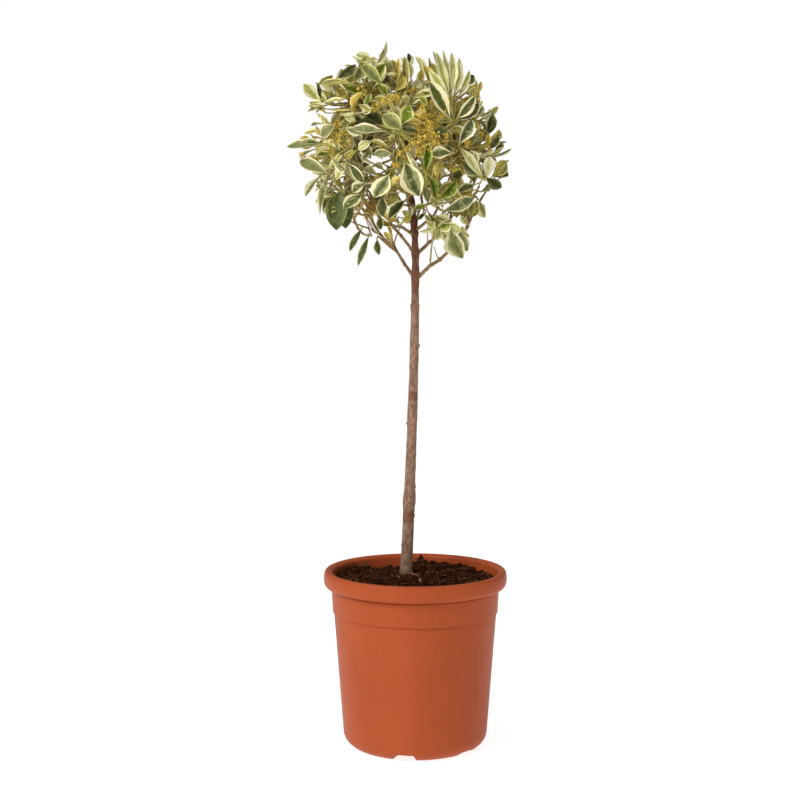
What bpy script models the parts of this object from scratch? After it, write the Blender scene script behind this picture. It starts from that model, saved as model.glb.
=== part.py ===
"""A variegated Japanese spindle trained as a round-headed standard, in a plastic pot of soil.

The pot stands on z = 0 and its axis is Z. Seen along +Y, +X is to the right.
Bearings are degrees about Z from +X, so 90 is the back and 270 the front. Rises are
degrees above the level.
"""

import math
import random

import bmesh
import bpy
import numpy as np
from mathutils import Vector
from mathutils.bvhtree import BVHTree

MM = 0.001
CLEARANCE = 0.3 * MM
MERGE = 0.01 * MM
SHARP_ANGLE = math.radians(50.0)
UP = Vector((0.0, 0.0, 1.0))
GOLDEN_ANGLE = math.pi * (3.0 - math.sqrt(5.0))

# Pot
POT_HEIGHT = 182.4 * MM
POT_STEPS = 40
LIP_RADIUS = 95.0 * MM
LIP_CREST_RADIUS = 90.8 * MM
LIP_INNER_RADIUS = 85.1 * MM
LIP_UNDER_RADIUS = 87.8 * MM
LIP_WIDEST_DROP = 8.8 * MM
LIP_INNER_DROP = 4.0 * MM
LIP_DEPTH = 17.7 * MM
LIP_ARC_STEPS = 3
BAND_TOP_RADIUS = 86.4 * MM
BAND_BOTTOM_RADIUS = 85.3 * MM
BAND_TOP_DROP = 18.6 * MM
BAND_BOTTOM_DROP = 43.4 * MM
WALL_TOP_RADIUS = 83.8 * MM
WALL_FOOT_RADIUS = 73.5 * MM
WALL_THICKNESS = 2.2 * MM
FOOT_FILLET = 15.0 * MM
FOOT_FILLET_STEPS = 3
FLOOR_THICKNESS = 3.0 * MM
FLOOR_RADIUS = 48.0 * MM
FLOOR_CORNER_HEIGHT = 16.0 * MM
NOTCH_COUNT = 6
NOTCH_BEARING = -99.0
NOTCH_HEIGHT = 4.5 * MM
NOTCH_WIDTH_BOTTOM = 22.5 * MM
NOTCH_WIDTH_TOP = 17.5 * MM
NOTCH_INNER_RADIUS = 54.0 * MM
NOTCH_OUTER_RADIUS = 90.0 * MM

# Soil
SOIL_EDGE_HEIGHT = 170.0 * MM
SOIL_MOUND = 5.4 * MM
SOIL_MOUND_RADIUS = 34.0 * MM
SOIL_SEAT_RADIUS = 20.0 * MM
SOIL_LUMP = 1.8 * MM
SOIL_CROSS_LUMP = 1.1 * MM
SOIL_WAVES = (9.0 * MM, 11.0 * MM, 7.0 * MM)
SOIL_TOP_RADII = tuple(r * MM for r in (66.0, 48.0, 32.0, 17.0))

# Trunk
TRUNK_FOOT = Vector((-9.6, 6.0, 0.0)) * MM
TRUNK_CUT_HEIGHT = SOIL_EDGE_HEIGHT + SOIL_MOUND + CLEARANCE
TRUNK_UPRIGHT_HEIGHT = 500.0 * MM
TRUNK_TIP_HEIGHT = 645.0 * MM
TRUNK_LEAN_POWER = 1.6
TRUNK_TOP_LEAN = 10.8 * MM
TRUNK_FOOT_RADIUS = 6.5 * MM
TRUNK_TIP_RADIUS = 1.8 * MM
TRUNK_TAPER_POWER = 1.25
TRUNK_FLARE = 2.1 * MM
TRUNK_FLARE_HEIGHT = 8.0 * MM
TRUNK_KNOTS = ((254.0, 1.0, 14.0), (340.0, 0.3, 8.0), (420.0, 0.4, 26.0), (484.0, 0.5, 9.0))
TRUNK_STATIONS = 22
TRUNK_STATION_POWER = 1.15
TRUNK_BEVEL_RESOLUTION = 4
BOUGH_BEVEL_RESOLUTION = 1
CUTTER_BEVEL_RESOLUTION = 3

# Boughs: where each leaves its parent, the way it sets off, how far it goes towards
# the middle of its mass, and its radius there
BOUGHS = {
    "bough_low_right": ("trunk", 481.0, 354.0, 34.0, 0.88, 2.6),
    "bough_low_left": ("trunk", 480.0, 178.0, 62.0, 0.44, 2.5),
    "bough_left_long": ("bough_low_left", 0.76, 200.0, 44.0, 0.45, 1.5),
    "bough_left_back": ("trunk", 506.0, 172.0, 53.0, 0.78, 2.0),
    "bough_left_front": ("trunk", 526.0, 206.0, 17.0, 0.72, 1.9),
    "bough_right_back": ("trunk", 506.0, 14.0, 31.0, 0.72, 2.2),
    "bough_right_front": ("trunk", 530.0, 322.0, 34.0, 0.72, 1.9),
    "bough_low_back": ("trunk", 520.0, 84.0, 38.0, 0.62, 2.0),
    "bough_back": ("trunk", 542.0, 104.0, 24.0, 0.72, 1.9),
    "bough_low_front": ("trunk", 553.0, 290.0, 4.0, 0.50, 1.7),
    "bough_front": ("trunk", 570.0, 262.0, 14.0, 0.62, 1.7),
    "bough_top_left": ("trunk", 584.0, 182.0, 40.0, 0.66, 1.7),
    "bough_top_right": ("trunk", 594.0, 2.0, 38.0, 0.68, 1.7),
}
BOUGH_TIP_SHARE = 0.55
BOUGH_COLLAR = 0.7 * MM
BOUGH_COLLAR_REACH = 6.0 * MM
BOUGH_SET_OFF = 0.42
BOUGH_POINTS = 6
LIMB_CLEARANCE = 1.5 * CLEARANCE
LIMB_TREE_SIDES = 8

# Masses: the limb that each grows on, and the middle of its space in millimetres
MASSES = {
    "foliage_low_right": ("bough_low_right", (60.0, -10.0, 558.0)),
    "foliage_low_left": ("bough_low_left", (-58.0, 36.0, 560.0)),
    "foliage_drooping_left": ("bough_left_long", (-76.0, -32.0, 544.0)),
    "foliage_left_back": ("bough_left_back", (-80.0, 38.0, 616.0)),
    "foliage_left_front": ("bough_left_front", (-80.0, -38.0, 618.0)),
    "foliage_right_back": ("bough_right_back", (52.0, 38.0, 616.0)),
    "foliage_right_front": ("bough_right_front", (52.0, -38.0, 618.0)),
    "foliage_low_back": ("bough_low_back", (4.0, 62.0, 560.0)),
    "foliage_back": ("bough_back", (-14.0, 76.0, 620.0)),
    "foliage_low_front": ("bough_low_front", (-12.0, -64.0, 560.0)),
    "foliage_front": ("bough_front", (-14.0, -76.0, 620.0)),
    "foliage_top_left": ("bough_top_left", (-64.0, 0.0, 670.0)),
    "foliage_top_right": ("bough_top_right", (34.0, 0.0, 670.0)),
    "foliage_top": ("trunk", (-14.0, 0.0, 692.0)),
}
MASS_GAP = 0.3 * MM
UNION_SOLVER = "EXACT"
STEM_REACH = 0.62
STEM_SET_OFF = 0.5
STEM_POINTS = 6
STEM_PLACES = 25
STEM_BARE_SHARE = 0.15
FORK_SPACING = 2.6 * MM
TWIG_POINTS = 3
TWIG_BEND = 0.35

# Crown
CROWN_MIDDLE = Vector((-18.0, 0.0, 611.0)) * MM
CROWN_REACH = Vector((113.0, 108.0, 109.0)) * MM
CROWN_LIMIT = Vector((116.5, 112.0, 111.5)) * MM
CROWN_LIMIT_BELOW = 150.0 * MM
CROWN_OPEN_BELOW = -0.74
OUTER_SHOOTS = 66
INNER_SHOOTS = 22
OUTER_SHARE = (0.70, 0.80)
INNER_SHARE = (0.40, 0.60)
SHOOT_SPACING = 17.0 * MM
SHOOT_SWING = 0.15
SHOOT_WANDER = 0.4
SHOOT_LIFT = 0.35
OUTER_PAIRS = 3
INNER_PAIRS = 2
SEED = 41
SEED_STEP = 1000

# Twigs, leaves and flower heads
TWIG_SIDES = 3
TWIG_RADIUS = 1.7 * MM
TWIG_TIP_RADIUS = 1.2 * MM
LEAF_NODE_START = 1.2 * MM
LEAF_NODE_STEP = 10.0 * MM
LEAF_LENGTH = (35.0 * MM, 44.0 * MM)
LEAF_WIDTH_SHARE = (0.42, 0.52)
LEAF_THICKNESS_SHARE = 0.03
LEAF_RIB_PLACE = 0.36
LEAF_ROOT_SINK = 0.3
LEAF_ROOT_SHARE = 0.16
LEAF_WIDEST = 0.58
LEAF_EDGE_LIFT = 0.06
LEAF_RIB_DROP = 0.04
LEAF_TIP_DROP = 0.05
LEAF_DIVERGENCE = (30.0, 58.0, 78.0)
LEAF_SWAY = 9.0
LEAF_SIZE_SPREAD = (0.88, 1.04)
LEAF_PAIR_SHRINK = 0.06
LEAF_FACE_LIFT = 0.3
LEAF_TRIES = ((0.0, 1.0), (35.0, 1.0), (-35.0, 0.9), (70.0, 0.85), (0.0, 0.7))
FLOWER_EVERY = 6
FLOWER_FIRST = 2
FLOWER_PLACE = 4.0 * MM
FLOWER_WAY = (0.8, 0.7, 0.3)
FLOWER_STALK = 13.0 * MM
FLOWER_RADIUS = 6.0 * MM
FLOWER_FLATNESS = 0.6
STALK_RADIUS = 0.9 * MM

# Shoots that show plainly in the view: bearing, rise and reach of the tip from the
# crown's middle, bearing and rise of its first leaf, leaf length, pairs of leaves
NAMED_SHOOTS = {
    "far_left": (184.0, 3.0, 86.0, 200.0, -4.0, 29.0, 2),
    "left_low": (190.0, -17.0, 76.0, 182.0, 12.0, 31.0, 2),
    "left_drooping": (187.0, -26.0, 84.0, 196.0, -58.0, 27.0, 2),
    "left_hanging": (204.0, -34.0, 78.0, 232.0, -76.0, 41.0, 2),
    "left_shoulder": (178.0, 33.0, 92.0, 180.0, 42.0, 24.0, 2),
    "left_top": (172.0, 66.0, 100.0, 176.0, 20.0, 26.0, 2),
    "highest": (168.0, 78.0, 93.0, 294.0, 41.0, 30.0, 2),
    "top_middle": (0.0, 82.0, 84.0, 0.0, 72.0, 24.0, 2),
    "pale_upright": (318.0, 49.0, 78.0, 350.0, 84.0, 39.0, 3),
    "upright_side": (330.0, 24.0, 66.0, 200.0, 52.0, 46.0, 2),
    "right_top": (12.0, 40.0, 98.0, 20.0, 42.0, 30.0, 2),
    "right_upper": (2.0, 20.0, 100.0, 40.0, 72.0, 26.0, 2),
    "far_right": (2.0, 0.0, 90.0, 356.0, 1.0, 26.0, 2),
    "right_dark": (356.0, -12.0, 94.0, 350.0, -20.0, 26.0, 2),
    "right_drooping": (350.0, -29.0, 92.0, 340.0, -66.0, 27.0, 2),
    "right_pale_hanging": (321.0, -51.0, 91.0, 336.0, -63.0, 43.0, 1),
    "centre_hanging": (276.0, -7.0, 70.0, 300.0, -62.0, 40.0, 1),
    "centre_rosette": (268.0, 20.0, 86.0, 266.0, 34.0, 30.0, 2),
}

# The three leaves that hang under the long low bough: share of the stem, bearing,
# rise and length
HANGING_LEAVES = ((0.12, 240.0, -74.0, 19.0), (0.42, 214.0, -70.0, 37.0), (0.72, 200.0, -56.0, 26.0))
HANGING_LEAF_WIDTH_SHARE = 0.36
HANGING_LEAF_TURN = 40.0


def direction(bearing, rise):
    """Return the unit vector with this bearing and rise in degrees."""
    level = math.cos(math.radians(rise))
    angle = math.radians(bearing)
    return Vector((level * math.cos(angle), level * math.sin(angle), math.sin(math.radians(rise))))


def blend(low, high, share):
    return low + (high - low) * share


def curve_points(start, control, end, count):
    """Return points on the quadratic curve that sets off towards control and ends at end."""
    points = []
    for index in range(count):
        t = index / (count - 1)
        points.append(start * (1 - t) ** 2 + control * (2 * t * (1 - t)) + end * t ** 2)
    return points


def clear_scene():
    for thing in list(bpy.data.objects):
        bpy.data.objects.remove(thing, do_unlink=True)


def make_collection(name):
    collection = bpy.data.collections.new(name)
    bpy.context.scene.collection.children.link(collection)
    return collection


def make_material(name, colour, roughness):
    material = bpy.data.materials.new(name)
    material.use_nodes = True
    shader = material.node_tree.nodes["Principled BSDF"]
    shader.inputs["Base Color"].default_value = (*colour, 1.0)
    shader.inputs["Roughness"].default_value = roughness
    shader.inputs["Metallic"].default_value = 0.0
    return material


def add_object(name, mesh, collection, material=None):
    thing = bpy.data.objects.new(name, mesh)
    collection.objects.link(thing)
    if material is not None:
        mesh.materials.clear()
        mesh.materials.append(material)
    return thing


def mesh_from(name, vertices, faces):
    mesh = bpy.data.meshes.new(name)
    mesh.from_pydata([tuple(v) for v in vertices], [], faces)
    mesh.validate()
    return mesh


def evaluated_mesh(thing):
    """Return a copy of the object's mesh as its modifiers leave it."""
    depsgraph = bpy.context.evaluated_depsgraph_get()
    return bpy.data.meshes.new_from_object(thing.evaluated_get(depsgraph), depsgraph=depsgraph)


def weld(mesh):
    """Merge doubled vertices and point every face outwards."""
    body = bmesh.new()
    body.from_mesh(mesh)
    bmesh.ops.remove_doubles(body, verts=body.verts, dist=MERGE)
    bmesh.ops.recalc_face_normals(body, faces=body.faces)
    body.to_mesh(mesh)
    body.free()


def tube(name, points, radii, collection, bevel_resolution, material=None):
    """Make a round limb as a mesh: a bevelled curve with filled caps, welded."""
    curve = bpy.data.curves.new(name, "CURVE")
    curve.dimensions = "3D"
    curve.bevel_depth = 1.0
    curve.bevel_resolution = bevel_resolution
    curve.use_fill_caps = True
    spline = curve.splines.new("POLY")
    spline.points.add(len(points) - 1)
    for knot, point, radius in zip(spline.points, points, radii):
        knot.co = (*point, 1.0)
        knot.radius = radius
    curve_object = bpy.data.objects.new(name + "_line", curve)
    collection.objects.link(curve_object)
    mesh = evaluated_mesh(curve_object)
    weld(mesh)
    limb = add_object(name, mesh, collection, material)
    limb.matrix_world = curve_object.matrix_world
    bpy.data.objects.remove(curve_object, do_unlink=True)
    mesh.shade_smooth()
    mesh.set_sharp_from_angle(angle=SHARP_ANGLE)
    return limb


def cut(thing, cutter):
    modifier = thing.modifiers.new("cut", "BOOLEAN")
    modifier.operation = "DIFFERENCE"
    modifier.object = cutter


def hide_cutter(cutter):
    cutter.hide_render = True
    cutter.display_type = "WIRE"


def arc(centre_radius, centre_height, reach_radius, reach_height, start, end, steps):
    """Return steps + 1 points of an elliptical arc between two angles in degrees."""
    points = []
    for index in range(steps + 1):
        angle = math.radians(blend(start, end, index / steps))
        radius = centre_radius + reach_radius * math.cos(angle)
        points.append((radius, centre_height + reach_height * math.sin(angle)))
    return points


def wall_radius(height):
    """Return the outer radius of the plain tapered wall at a height."""
    band_bottom = POT_HEIGHT - BAND_BOTTOM_DROP
    return blend(WALL_FOOT_RADIUS, WALL_TOP_RADIUS, height / band_bottom)


def pot_profile():
    """Return the pot's outline from the middle of its floor, over the lip, to its underside."""
    lip_middle = POT_HEIGHT - LIP_WIDEST_DROP
    band_top = POT_HEIGHT - BAND_TOP_DROP
    band_bottom = POT_HEIGHT - BAND_BOTTOM_DROP
    taper = math.atan((WALL_TOP_RADIUS - WALL_FOOT_RADIUS) / band_bottom)
    fillet_radius = wall_radius(FOOT_FILLET) - FOOT_FILLET / math.cos(taper)
    inner = inner_wall(0.0)
    lip_inside = arc(
        LIP_CREST_RADIUS, POT_HEIGHT - LIP_INNER_DROP, LIP_CREST_RADIUS - LIP_INNER_RADIUS,
        LIP_INNER_DROP, 180.0, 90.0, LIP_ARC_STEPS)
    lip_top = arc(
        LIP_CREST_RADIUS, lip_middle, LIP_RADIUS - LIP_CREST_RADIUS, LIP_WIDEST_DROP,
        90.0, 0.0, LIP_ARC_STEPS)
    lip_under = arc(
        LIP_UNDER_RADIUS, lip_middle, LIP_RADIUS - LIP_UNDER_RADIUS, LIP_DEPTH - LIP_WIDEST_DROP,
        0.0, -90.0, LIP_ARC_STEPS)
    band = [
        (BAND_TOP_RADIUS, band_top),
        (BAND_BOTTOM_RADIUS, band_bottom + WALL_THICKNESS / 2),
        (WALL_TOP_RADIUS, band_bottom),
    ]
    foot = arc(fillet_radius, FOOT_FILLET, FOOT_FILLET, FOOT_FILLET,
               -math.degrees(taper), -90.0, FOOT_FILLET_STEPS)
    return inner + lip_inside + lip_top[1:] + lip_under[1:] + band + foot + [(0.0, 0.0)]


def inner_wall(inset):
    """Return the inner outline, floor to lip, moved into the hollow by inset."""
    band_top = POT_HEIGHT - BAND_TOP_DROP
    band_bottom = POT_HEIGHT - BAND_BOTTOM_DROP
    return [
        (0.0, FLOOR_THICKNESS + inset),
        (FLOOR_RADIUS - inset, FLOOR_THICKNESS + inset),
        (wall_radius(FLOOR_CORNER_HEIGHT) - WALL_THICKNESS - inset, FLOOR_CORNER_HEIGHT),
        (WALL_TOP_RADIUS - WALL_THICKNESS - inset, band_bottom),
        (BAND_TOP_RADIUS - WALL_THICKNESS - inset, band_top),
    ]


def turned(name, profile, collection, material):
    """Turn a profile, given as radius and height, about Z."""
    mesh = bpy.data.meshes.new(name)
    edges = [(index, index + 1) for index in range(len(profile) - 1)]
    mesh.from_pydata([(radius, 0.0, height) for radius, height in profile], edges, [])
    thing = add_object(name, mesh, collection, material)
    screw = thing.modifiers.new("turn", "SCREW")
    screw.axis = "Z"
    screw.steps = POT_STEPS
    screw.render_steps = POT_STEPS
    screw.use_merge_vertices = True
    screw.merge_threshold = MERGE
    screw.use_smooth_shade = True
    return thing


def notch_cutters(collection):
    """Make the wedge-sided channels that lift the rim of the foot off the ground."""
    body = bmesh.new()
    below = -NOTCH_HEIGHT
    flare = (NOTCH_WIDTH_BOTTOM - NOTCH_WIDTH_TOP) / 2
    for index in range(NOTCH_COUNT):
        bearing = NOTCH_BEARING + index * 360.0 / NOTCH_COUNT
        outward = direction(bearing, 0.0)
        side = direction(bearing + 90.0, 0.0)
        shape = bmesh.ops.create_cube(body, size=2.0)
        for vertex in shape["verts"]:
            low = vertex.co.z < 0
            radius = NOTCH_OUTER_RADIUS if vertex.co.x > 0 else NOTCH_INNER_RADIUS
            half = NOTCH_WIDTH_BOTTOM / 2 + flare if low else NOTCH_WIDTH_TOP / 2
            height = below if low else NOTCH_HEIGHT
            vertex.co = outward * radius + side * half * vertex.co.y + UP * height
    bmesh.ops.recalc_face_normals(body, faces=body.faces)
    mesh = bpy.data.meshes.new("notches")
    body.to_mesh(mesh)
    body.free()
    cutter = add_object("notches", mesh, collection)
    hide_cutter(cutter)
    return cutter


def make_pot(collection, cutters):
    material = make_material("pot_plastic", (0.48, 0.12, 0.045), 0.42)
    pot = turned("pot", pot_profile(), collection, material)
    cut(pot, notch_cutters(cutters))
    return pot


def soil_height(x, y):
    """Return the height of the soil: a mound round the trunk's flat seat, and shallow lumps."""
    away = math.hypot(x - TRUNK_FOOT.x, y - TRUNK_FOOT.y)
    if away <= SOIL_SEAT_RADIUS:
        return SOIL_EDGE_HEIGHT + SOIL_MOUND
    past_seat = away - SOIL_SEAT_RADIUS
    mound = SOIL_MOUND * math.exp(-(past_seat / SOIL_MOUND_RADIUS) ** 2)
    wave_x, wave_y, wave_cross = SOIL_WAVES
    lumps = SOIL_LUMP * math.sin(x / wave_x + 1.0) * math.cos(y / wave_y)
    lumps += SOIL_CROSS_LUMP * math.sin((x + 2.0 * y) / wave_cross)
    return SOIL_EDGE_HEIGHT + mound + lumps * min(1.0, past_seat / SOIL_SEAT_RADIUS)


def make_soil(collection):
    """Turn the filling of the pot, then raise the points of its top to the soil's height."""
    edge_radius = BAND_TOP_RADIUS - WALL_THICKNESS - CLEARANCE
    outline = inner_wall(CLEARANCE)
    outline.append((edge_radius, SOIL_EDGE_HEIGHT))
    outline.extend((radius, SOIL_EDGE_HEIGHT) for radius in SOIL_TOP_RADII)
    outline.append((0.0, SOIL_EDGE_HEIGHT))
    outline.reverse()
    material = make_material("soil_dark", (0.022, 0.012, 0.007), 0.95)
    soil = turned("soil", outline, collection, material)
    mesh = evaluated_mesh(soil)
    weld(mesh)
    for vertex in mesh.vertices:
        if vertex.co.z > SOIL_EDGE_HEIGHT - MERGE:
            vertex.co.z = soil_height(vertex.co.x, vertex.co.y)
    bpy.data.objects.remove(soil, do_unlink=True)
    return add_object("soil", mesh, collection, material)


def trunk_point(height):
    """Return the trunk's centre line: a lean that dies away upwards, then a bend to the left."""
    if height <= TRUNK_UPRIGHT_HEIGHT:
        share = (height - TRUNK_CUT_HEIGHT) / (TRUNK_UPRIGHT_HEIGHT - TRUNK_CUT_HEIGHT)
        lean = TRUNK_FOOT * (1.0 - max(share, 0.0)) ** TRUNK_LEAN_POWER
        return lean + UP * height
    share = (height - TRUNK_UPRIGHT_HEIGHT) / (TRUNK_TIP_HEIGHT - TRUNK_UPRIGHT_HEIGHT)
    bend = TRUNK_TOP_LEAN * share * share * (3.0 - 2.0 * share)
    return Vector((-bend, 0.0, height))


def trunk_radius(height):
    """Return the trunk's radius: a taper, a flare at the foot and a swelling at each knot."""
    share = (height - TRUNK_CUT_HEIGHT) / (TRUNK_TIP_HEIGHT - TRUNK_CUT_HEIGHT)
    radius = blend(TRUNK_FOOT_RADIUS, TRUNK_TIP_RADIUS, max(share, 0.0) ** TRUNK_TAPER_POWER)
    radius += TRUNK_FLARE * math.exp(-(height - TRUNK_CUT_HEIGHT) / TRUNK_FLARE_HEIGHT)
    for knot_height, swelling, spread in TRUNK_KNOTS:
        radius += swelling * MM * math.exp(-((height / MM - knot_height) / spread) ** 2)
    return radius


def trunk_line():
    """Return the trunk's points and radii, closer together at the foot, which starts upright."""
    points = []
    radii = []
    for index in range(TRUNK_STATIONS):
        share = (index / (TRUNK_STATIONS - 1)) ** TRUNK_STATION_POWER
        height = blend(TRUNK_CUT_HEIGHT, TRUNK_TIP_HEIGHT, share)
        points.append(trunk_point(height))
        radii.append(trunk_radius(height))
    points[0].xy = points[1].xy
    return points, radii


def bough_line(name, lines):
    """Return a bough's points and radii, from its parent's middle to where its mass begins."""
    parent, place, bearing, rise, reach, radius = BOUGHS[name]
    if parent == "trunk":
        start = trunk_point(place * MM)
    else:
        points = lines[parent][0]
        start = points[0].lerp(points[-1], place)
        start = min(points, key=lambda point: (point - start).length).copy()
    middles = [Vector(middle) * MM for limb, middle in MASSES.values() if limb == name]
    end = start.lerp(middles[0], reach)
    length = (end - start).length
    control = start + direction(bearing, rise) * length * BOUGH_SET_OFF
    points = curve_points(start, control, end, BOUGH_POINTS)
    radii = []
    for index, point in enumerate(points):
        share = index / (BOUGH_POINTS - 1)
        collar = BOUGH_COLLAR * math.exp(-(point - start).length / BOUGH_COLLAR_REACH)
        radii.append(radius * MM * blend(1.0, BOUGH_TIP_SHARE, share) + collar)
    return points, radii


def limb_lines():
    """Return the points and radii of the trunk and of every bough by name."""
    lines = {"trunk": trunk_line()}
    for name in BOUGHS:
        lines[name] = bough_line(name, lines)
    return lines


def make_limbs(lines, collection, cutters):
    """Make the trunk and the boughs, each bough cut clear of the limb that it leaves."""
    bark = make_material("bark_brown", (0.20, 0.12, 0.08), 0.85)
    twig_bark = make_material("bark_reddish", (0.16, 0.075, 0.045), 0.8)
    clearances = {}
    for parent in {row[0] for row in BOUGHS.values()}:
        points, radii = lines[parent]
        wide = [radius + CLEARANCE for radius in radii]
        clearances[parent] = tube(parent + "_clearance", points, wide, cutters, CUTTER_BEVEL_RESOLUTION)
        hide_cutter(clearances[parent])
    tube("trunk", *lines["trunk"], collection, TRUNK_BEVEL_RESOLUTION, bark)
    for name, row in BOUGHS.items():
        limb = tube(name, *lines[name], collection, BOUGH_BEVEL_RESOLUTION, twig_bark)
        cut(limb, clearances[row[0]])


def frame_across(along, turn):
    """Return two unit vectors square to along and to each other, turned about it by degrees."""
    helper = UP if abs(along.z) < 0.9 else Vector((1.0, 0.0, 0.0))
    first = along.cross(helper).normalized()
    second = along.cross(first)
    angle = math.radians(turn)
    across = first * math.cos(angle) + second * math.sin(angle)
    return across, along.cross(across)


def sided_tube(points, radii, sides, turn=0.0):
    """Return a closed tube with flat sides as vertices and faces.

    Every ring starts at the same side of the line, so the tube doesn't twist where it bends.
    """
    start, _ = frame_across((points[-1] - points[0]).normalized(), turn)
    vertices = []
    for index, point in enumerate(points):
        along = (points[min(index + 1, len(points) - 1)] - points[max(index - 1, 0)]).normalized()
        across = (start - along * start.dot(along)).normalized()
        other = along.cross(across)
        for side in range(sides):
            angle = math.tau * side / sides
            vertices.append(point + (across * math.cos(angle) + other * math.sin(angle)) * radii[index])
    faces = [tuple(reversed(range(sides)))]
    for index in range(len(points) - 1):
        low = sides * index
        for side in range(sides):
            following = (side + 1) % sides
            faces.append((low + side, low + following, low + sides + following, low + sides + side))
    top = sides * (len(points) - 1)
    faces.append(tuple(range(top, top + sides)))
    return vertices, faces


def limb_tree(lines):
    """Return a search tree of every limb, each widened by the clearance."""
    vertices = []
    faces = []
    for points, radii in lines.values():
        wide = [radius + LIMB_CLEARANCE for radius in radii]
        limb_vertices, limb_faces = sided_tube(points, wide, LIMB_TREE_SIDES)
        faces.extend(tuple(corner + len(vertices) for corner in face) for face in limb_faces)
        vertices.extend(limb_vertices)
    return BVHTree.FromPolygons(vertices, faces)


def leaf_blade(root, along, face, length, width):
    """Return an eight-faced blade: root, tip, two edges, and a raised and a lowered midrib."""
    across = along.cross(face).normalized()
    face = across.cross(along).normalized()
    middle = root + along * length * LEAF_WIDEST
    rib = root + along * length * LEAF_RIB_PLACE - face * length * LEAF_RIB_DROP
    half_thickness = face * length * LEAF_THICKNESS_SHARE / 2
    lift = face * length * LEAF_EDGE_LIFT
    vertices = [
        root,
        root + along * length - face * length * LEAF_TIP_DROP,
        middle + across * width / 2 + lift,
        middle - across * width / 2 + lift,
        rib + half_thickness,
        rib - half_thickness,
    ]
    faces = [(0, 2, 4), (0, 4, 3), (1, 4, 2), (1, 3, 4), (0, 5, 2), (0, 3, 5), (1, 2, 5), (1, 5, 3)]
    return vertices, faces


def flower_head(middle, along):
    """Return a flower head as one flat eight-faced lump, square to its stalk."""
    across, other = frame_across(along, 0.0)
    steps = [across, -across, other, -other, along * FLOWER_FLATNESS, -along * FLOWER_FLATNESS]
    vertices = [middle + step * FLOWER_RADIUS for step in steps]
    faces = [(0, 2, 4), (2, 1, 4), (1, 3, 4), (3, 0, 4), (2, 0, 5), (1, 2, 5), (3, 1, 5), (0, 3, 5)]
    return vertices, faces


def crown_share(way):
    """Return how far the crown reaches in a direction, as a length."""
    return 1.0 / math.sqrt(sum((way[axis] / CROWN_REACH[axis]) ** 2 for axis in range(3)))


def outside_crown(places):
    """Say whether any place lies outside the crown, an egg that reaches further below."""
    away = places - np.array(CROWN_MIDDLE)
    reach = np.tile(np.array(CROWN_LIMIT), (len(places), 1))
    reach[away[:, 2] < 0, 2] = CROWN_LIMIT_BELOW
    return bool((((away / reach) ** 2).sum(axis=1) > 1.0).any())


def named_shoots():
    shoots = []
    for bearing, rise, reach, leaf_bearing, leaf_rise, leaf, pairs in NAMED_SHOOTS.values():
        tip = CROWN_MIDDLE + direction(bearing, rise) * reach * MM
        shoots.append((tip, direction(leaf_bearing, leaf_rise), leaf * MM, pairs, True))
    return shoots


def spread_shoots(count, share_range, pairs, stream):
    """Return shoots spread evenly over the crown by the golden angle, open underneath."""
    shoots = []
    for index in range(count):
        rise = 1.0 - 2.0 * (index + 0.5) / count
        if rise < CROWN_OPEN_BELOW:
            continue
        level = math.sqrt(1.0 - rise * rise)
        angle = index * GOLDEN_ANGLE + stream.uniform(-SHOOT_SWING, SHOOT_SWING)
        way = Vector((level * math.cos(angle), level * math.sin(angle), rise))
        tip = CROWN_MIDDLE + way * crown_share(way) * stream.uniform(*share_range)
        wander = Vector([stream.uniform(-SHOOT_WANDER, SHOOT_WANDER) for _ in range(3)])
        heading = (way + UP * SHOOT_LIFT + wander).normalized()
        shoots.append((tip, heading, stream.uniform(*LEAF_LENGTH), pairs, False))
    return shoots


def crown_shoots():
    """Return the named shoots and those of the even spread that keep clear of them."""
    stream = random.Random(SEED)
    shoots = named_shoots()
    spread = spread_shoots(OUTER_SHOOTS, OUTER_SHARE, OUTER_PAIRS, stream)
    spread += spread_shoots(INNER_SHOOTS, INNER_SHARE, INNER_PAIRS, stream)
    for shoot in spread:
        if all((shoot[0] - other[0]).length > SHOOT_SPACING for other in shoots):
            shoots.append(shoot)
    return shoots


class Space:
    """The part of the crown that lies nearer to one mass's middle than to any other's."""

    def __init__(self, name, tree):
        middles = {key: np.array(row[1]) * MM for key, row in MASSES.items()}
        own = middles.pop(name)
        others = np.array(list(middles.values()))
        away = others - own
        self.normals = away / np.linalg.norm(away, axis=1)[:, None]
        self.limits = np.einsum("ij,ij->i", self.normals, (others + own) / 2) - MASS_GAP / 2
        self.tree = tree
        self.grown = []

    def holds(self, vertices, faces):
        """Say whether a piece lies inside the space and clear of every limb."""
        places = np.array([tuple(vertex) for vertex in vertices])
        if (places @ self.normals.T > self.limits).any() or outside_crown(places):
            return False
        return not self.tree.overlap(BVHTree.FromPolygons(vertices, faces))

    def add(self, piece):
        """Remember a piece of the mass, so that later blades keep off it."""
        self.grown.append(BVHTree.FromPolygons(*piece))

    def clear_of_grown(self, blade):
        """Say whether a blade, its root left out, crosses nothing that the mass has already."""
        vertices, faces = blade
        root = vertices[0]
        past_root = [root + (place - root) * (1.0 - LEAF_ROOT_SHARE) for place in vertices[1:]]
        shift = (vertices[1] - root) * LEAF_ROOT_SHARE
        trimmed = [root + shift] + [place + shift for place in past_root]
        tree = BVHTree.FromPolygons(trimmed, faces)
        if any(tree.overlap(other) for other in self.grown):
            return False
        self.grown.append(tree)
        return True

    def has_point(self, point):
        return bool((self.normals @ np.array(point) < self.limits).all())


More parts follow.
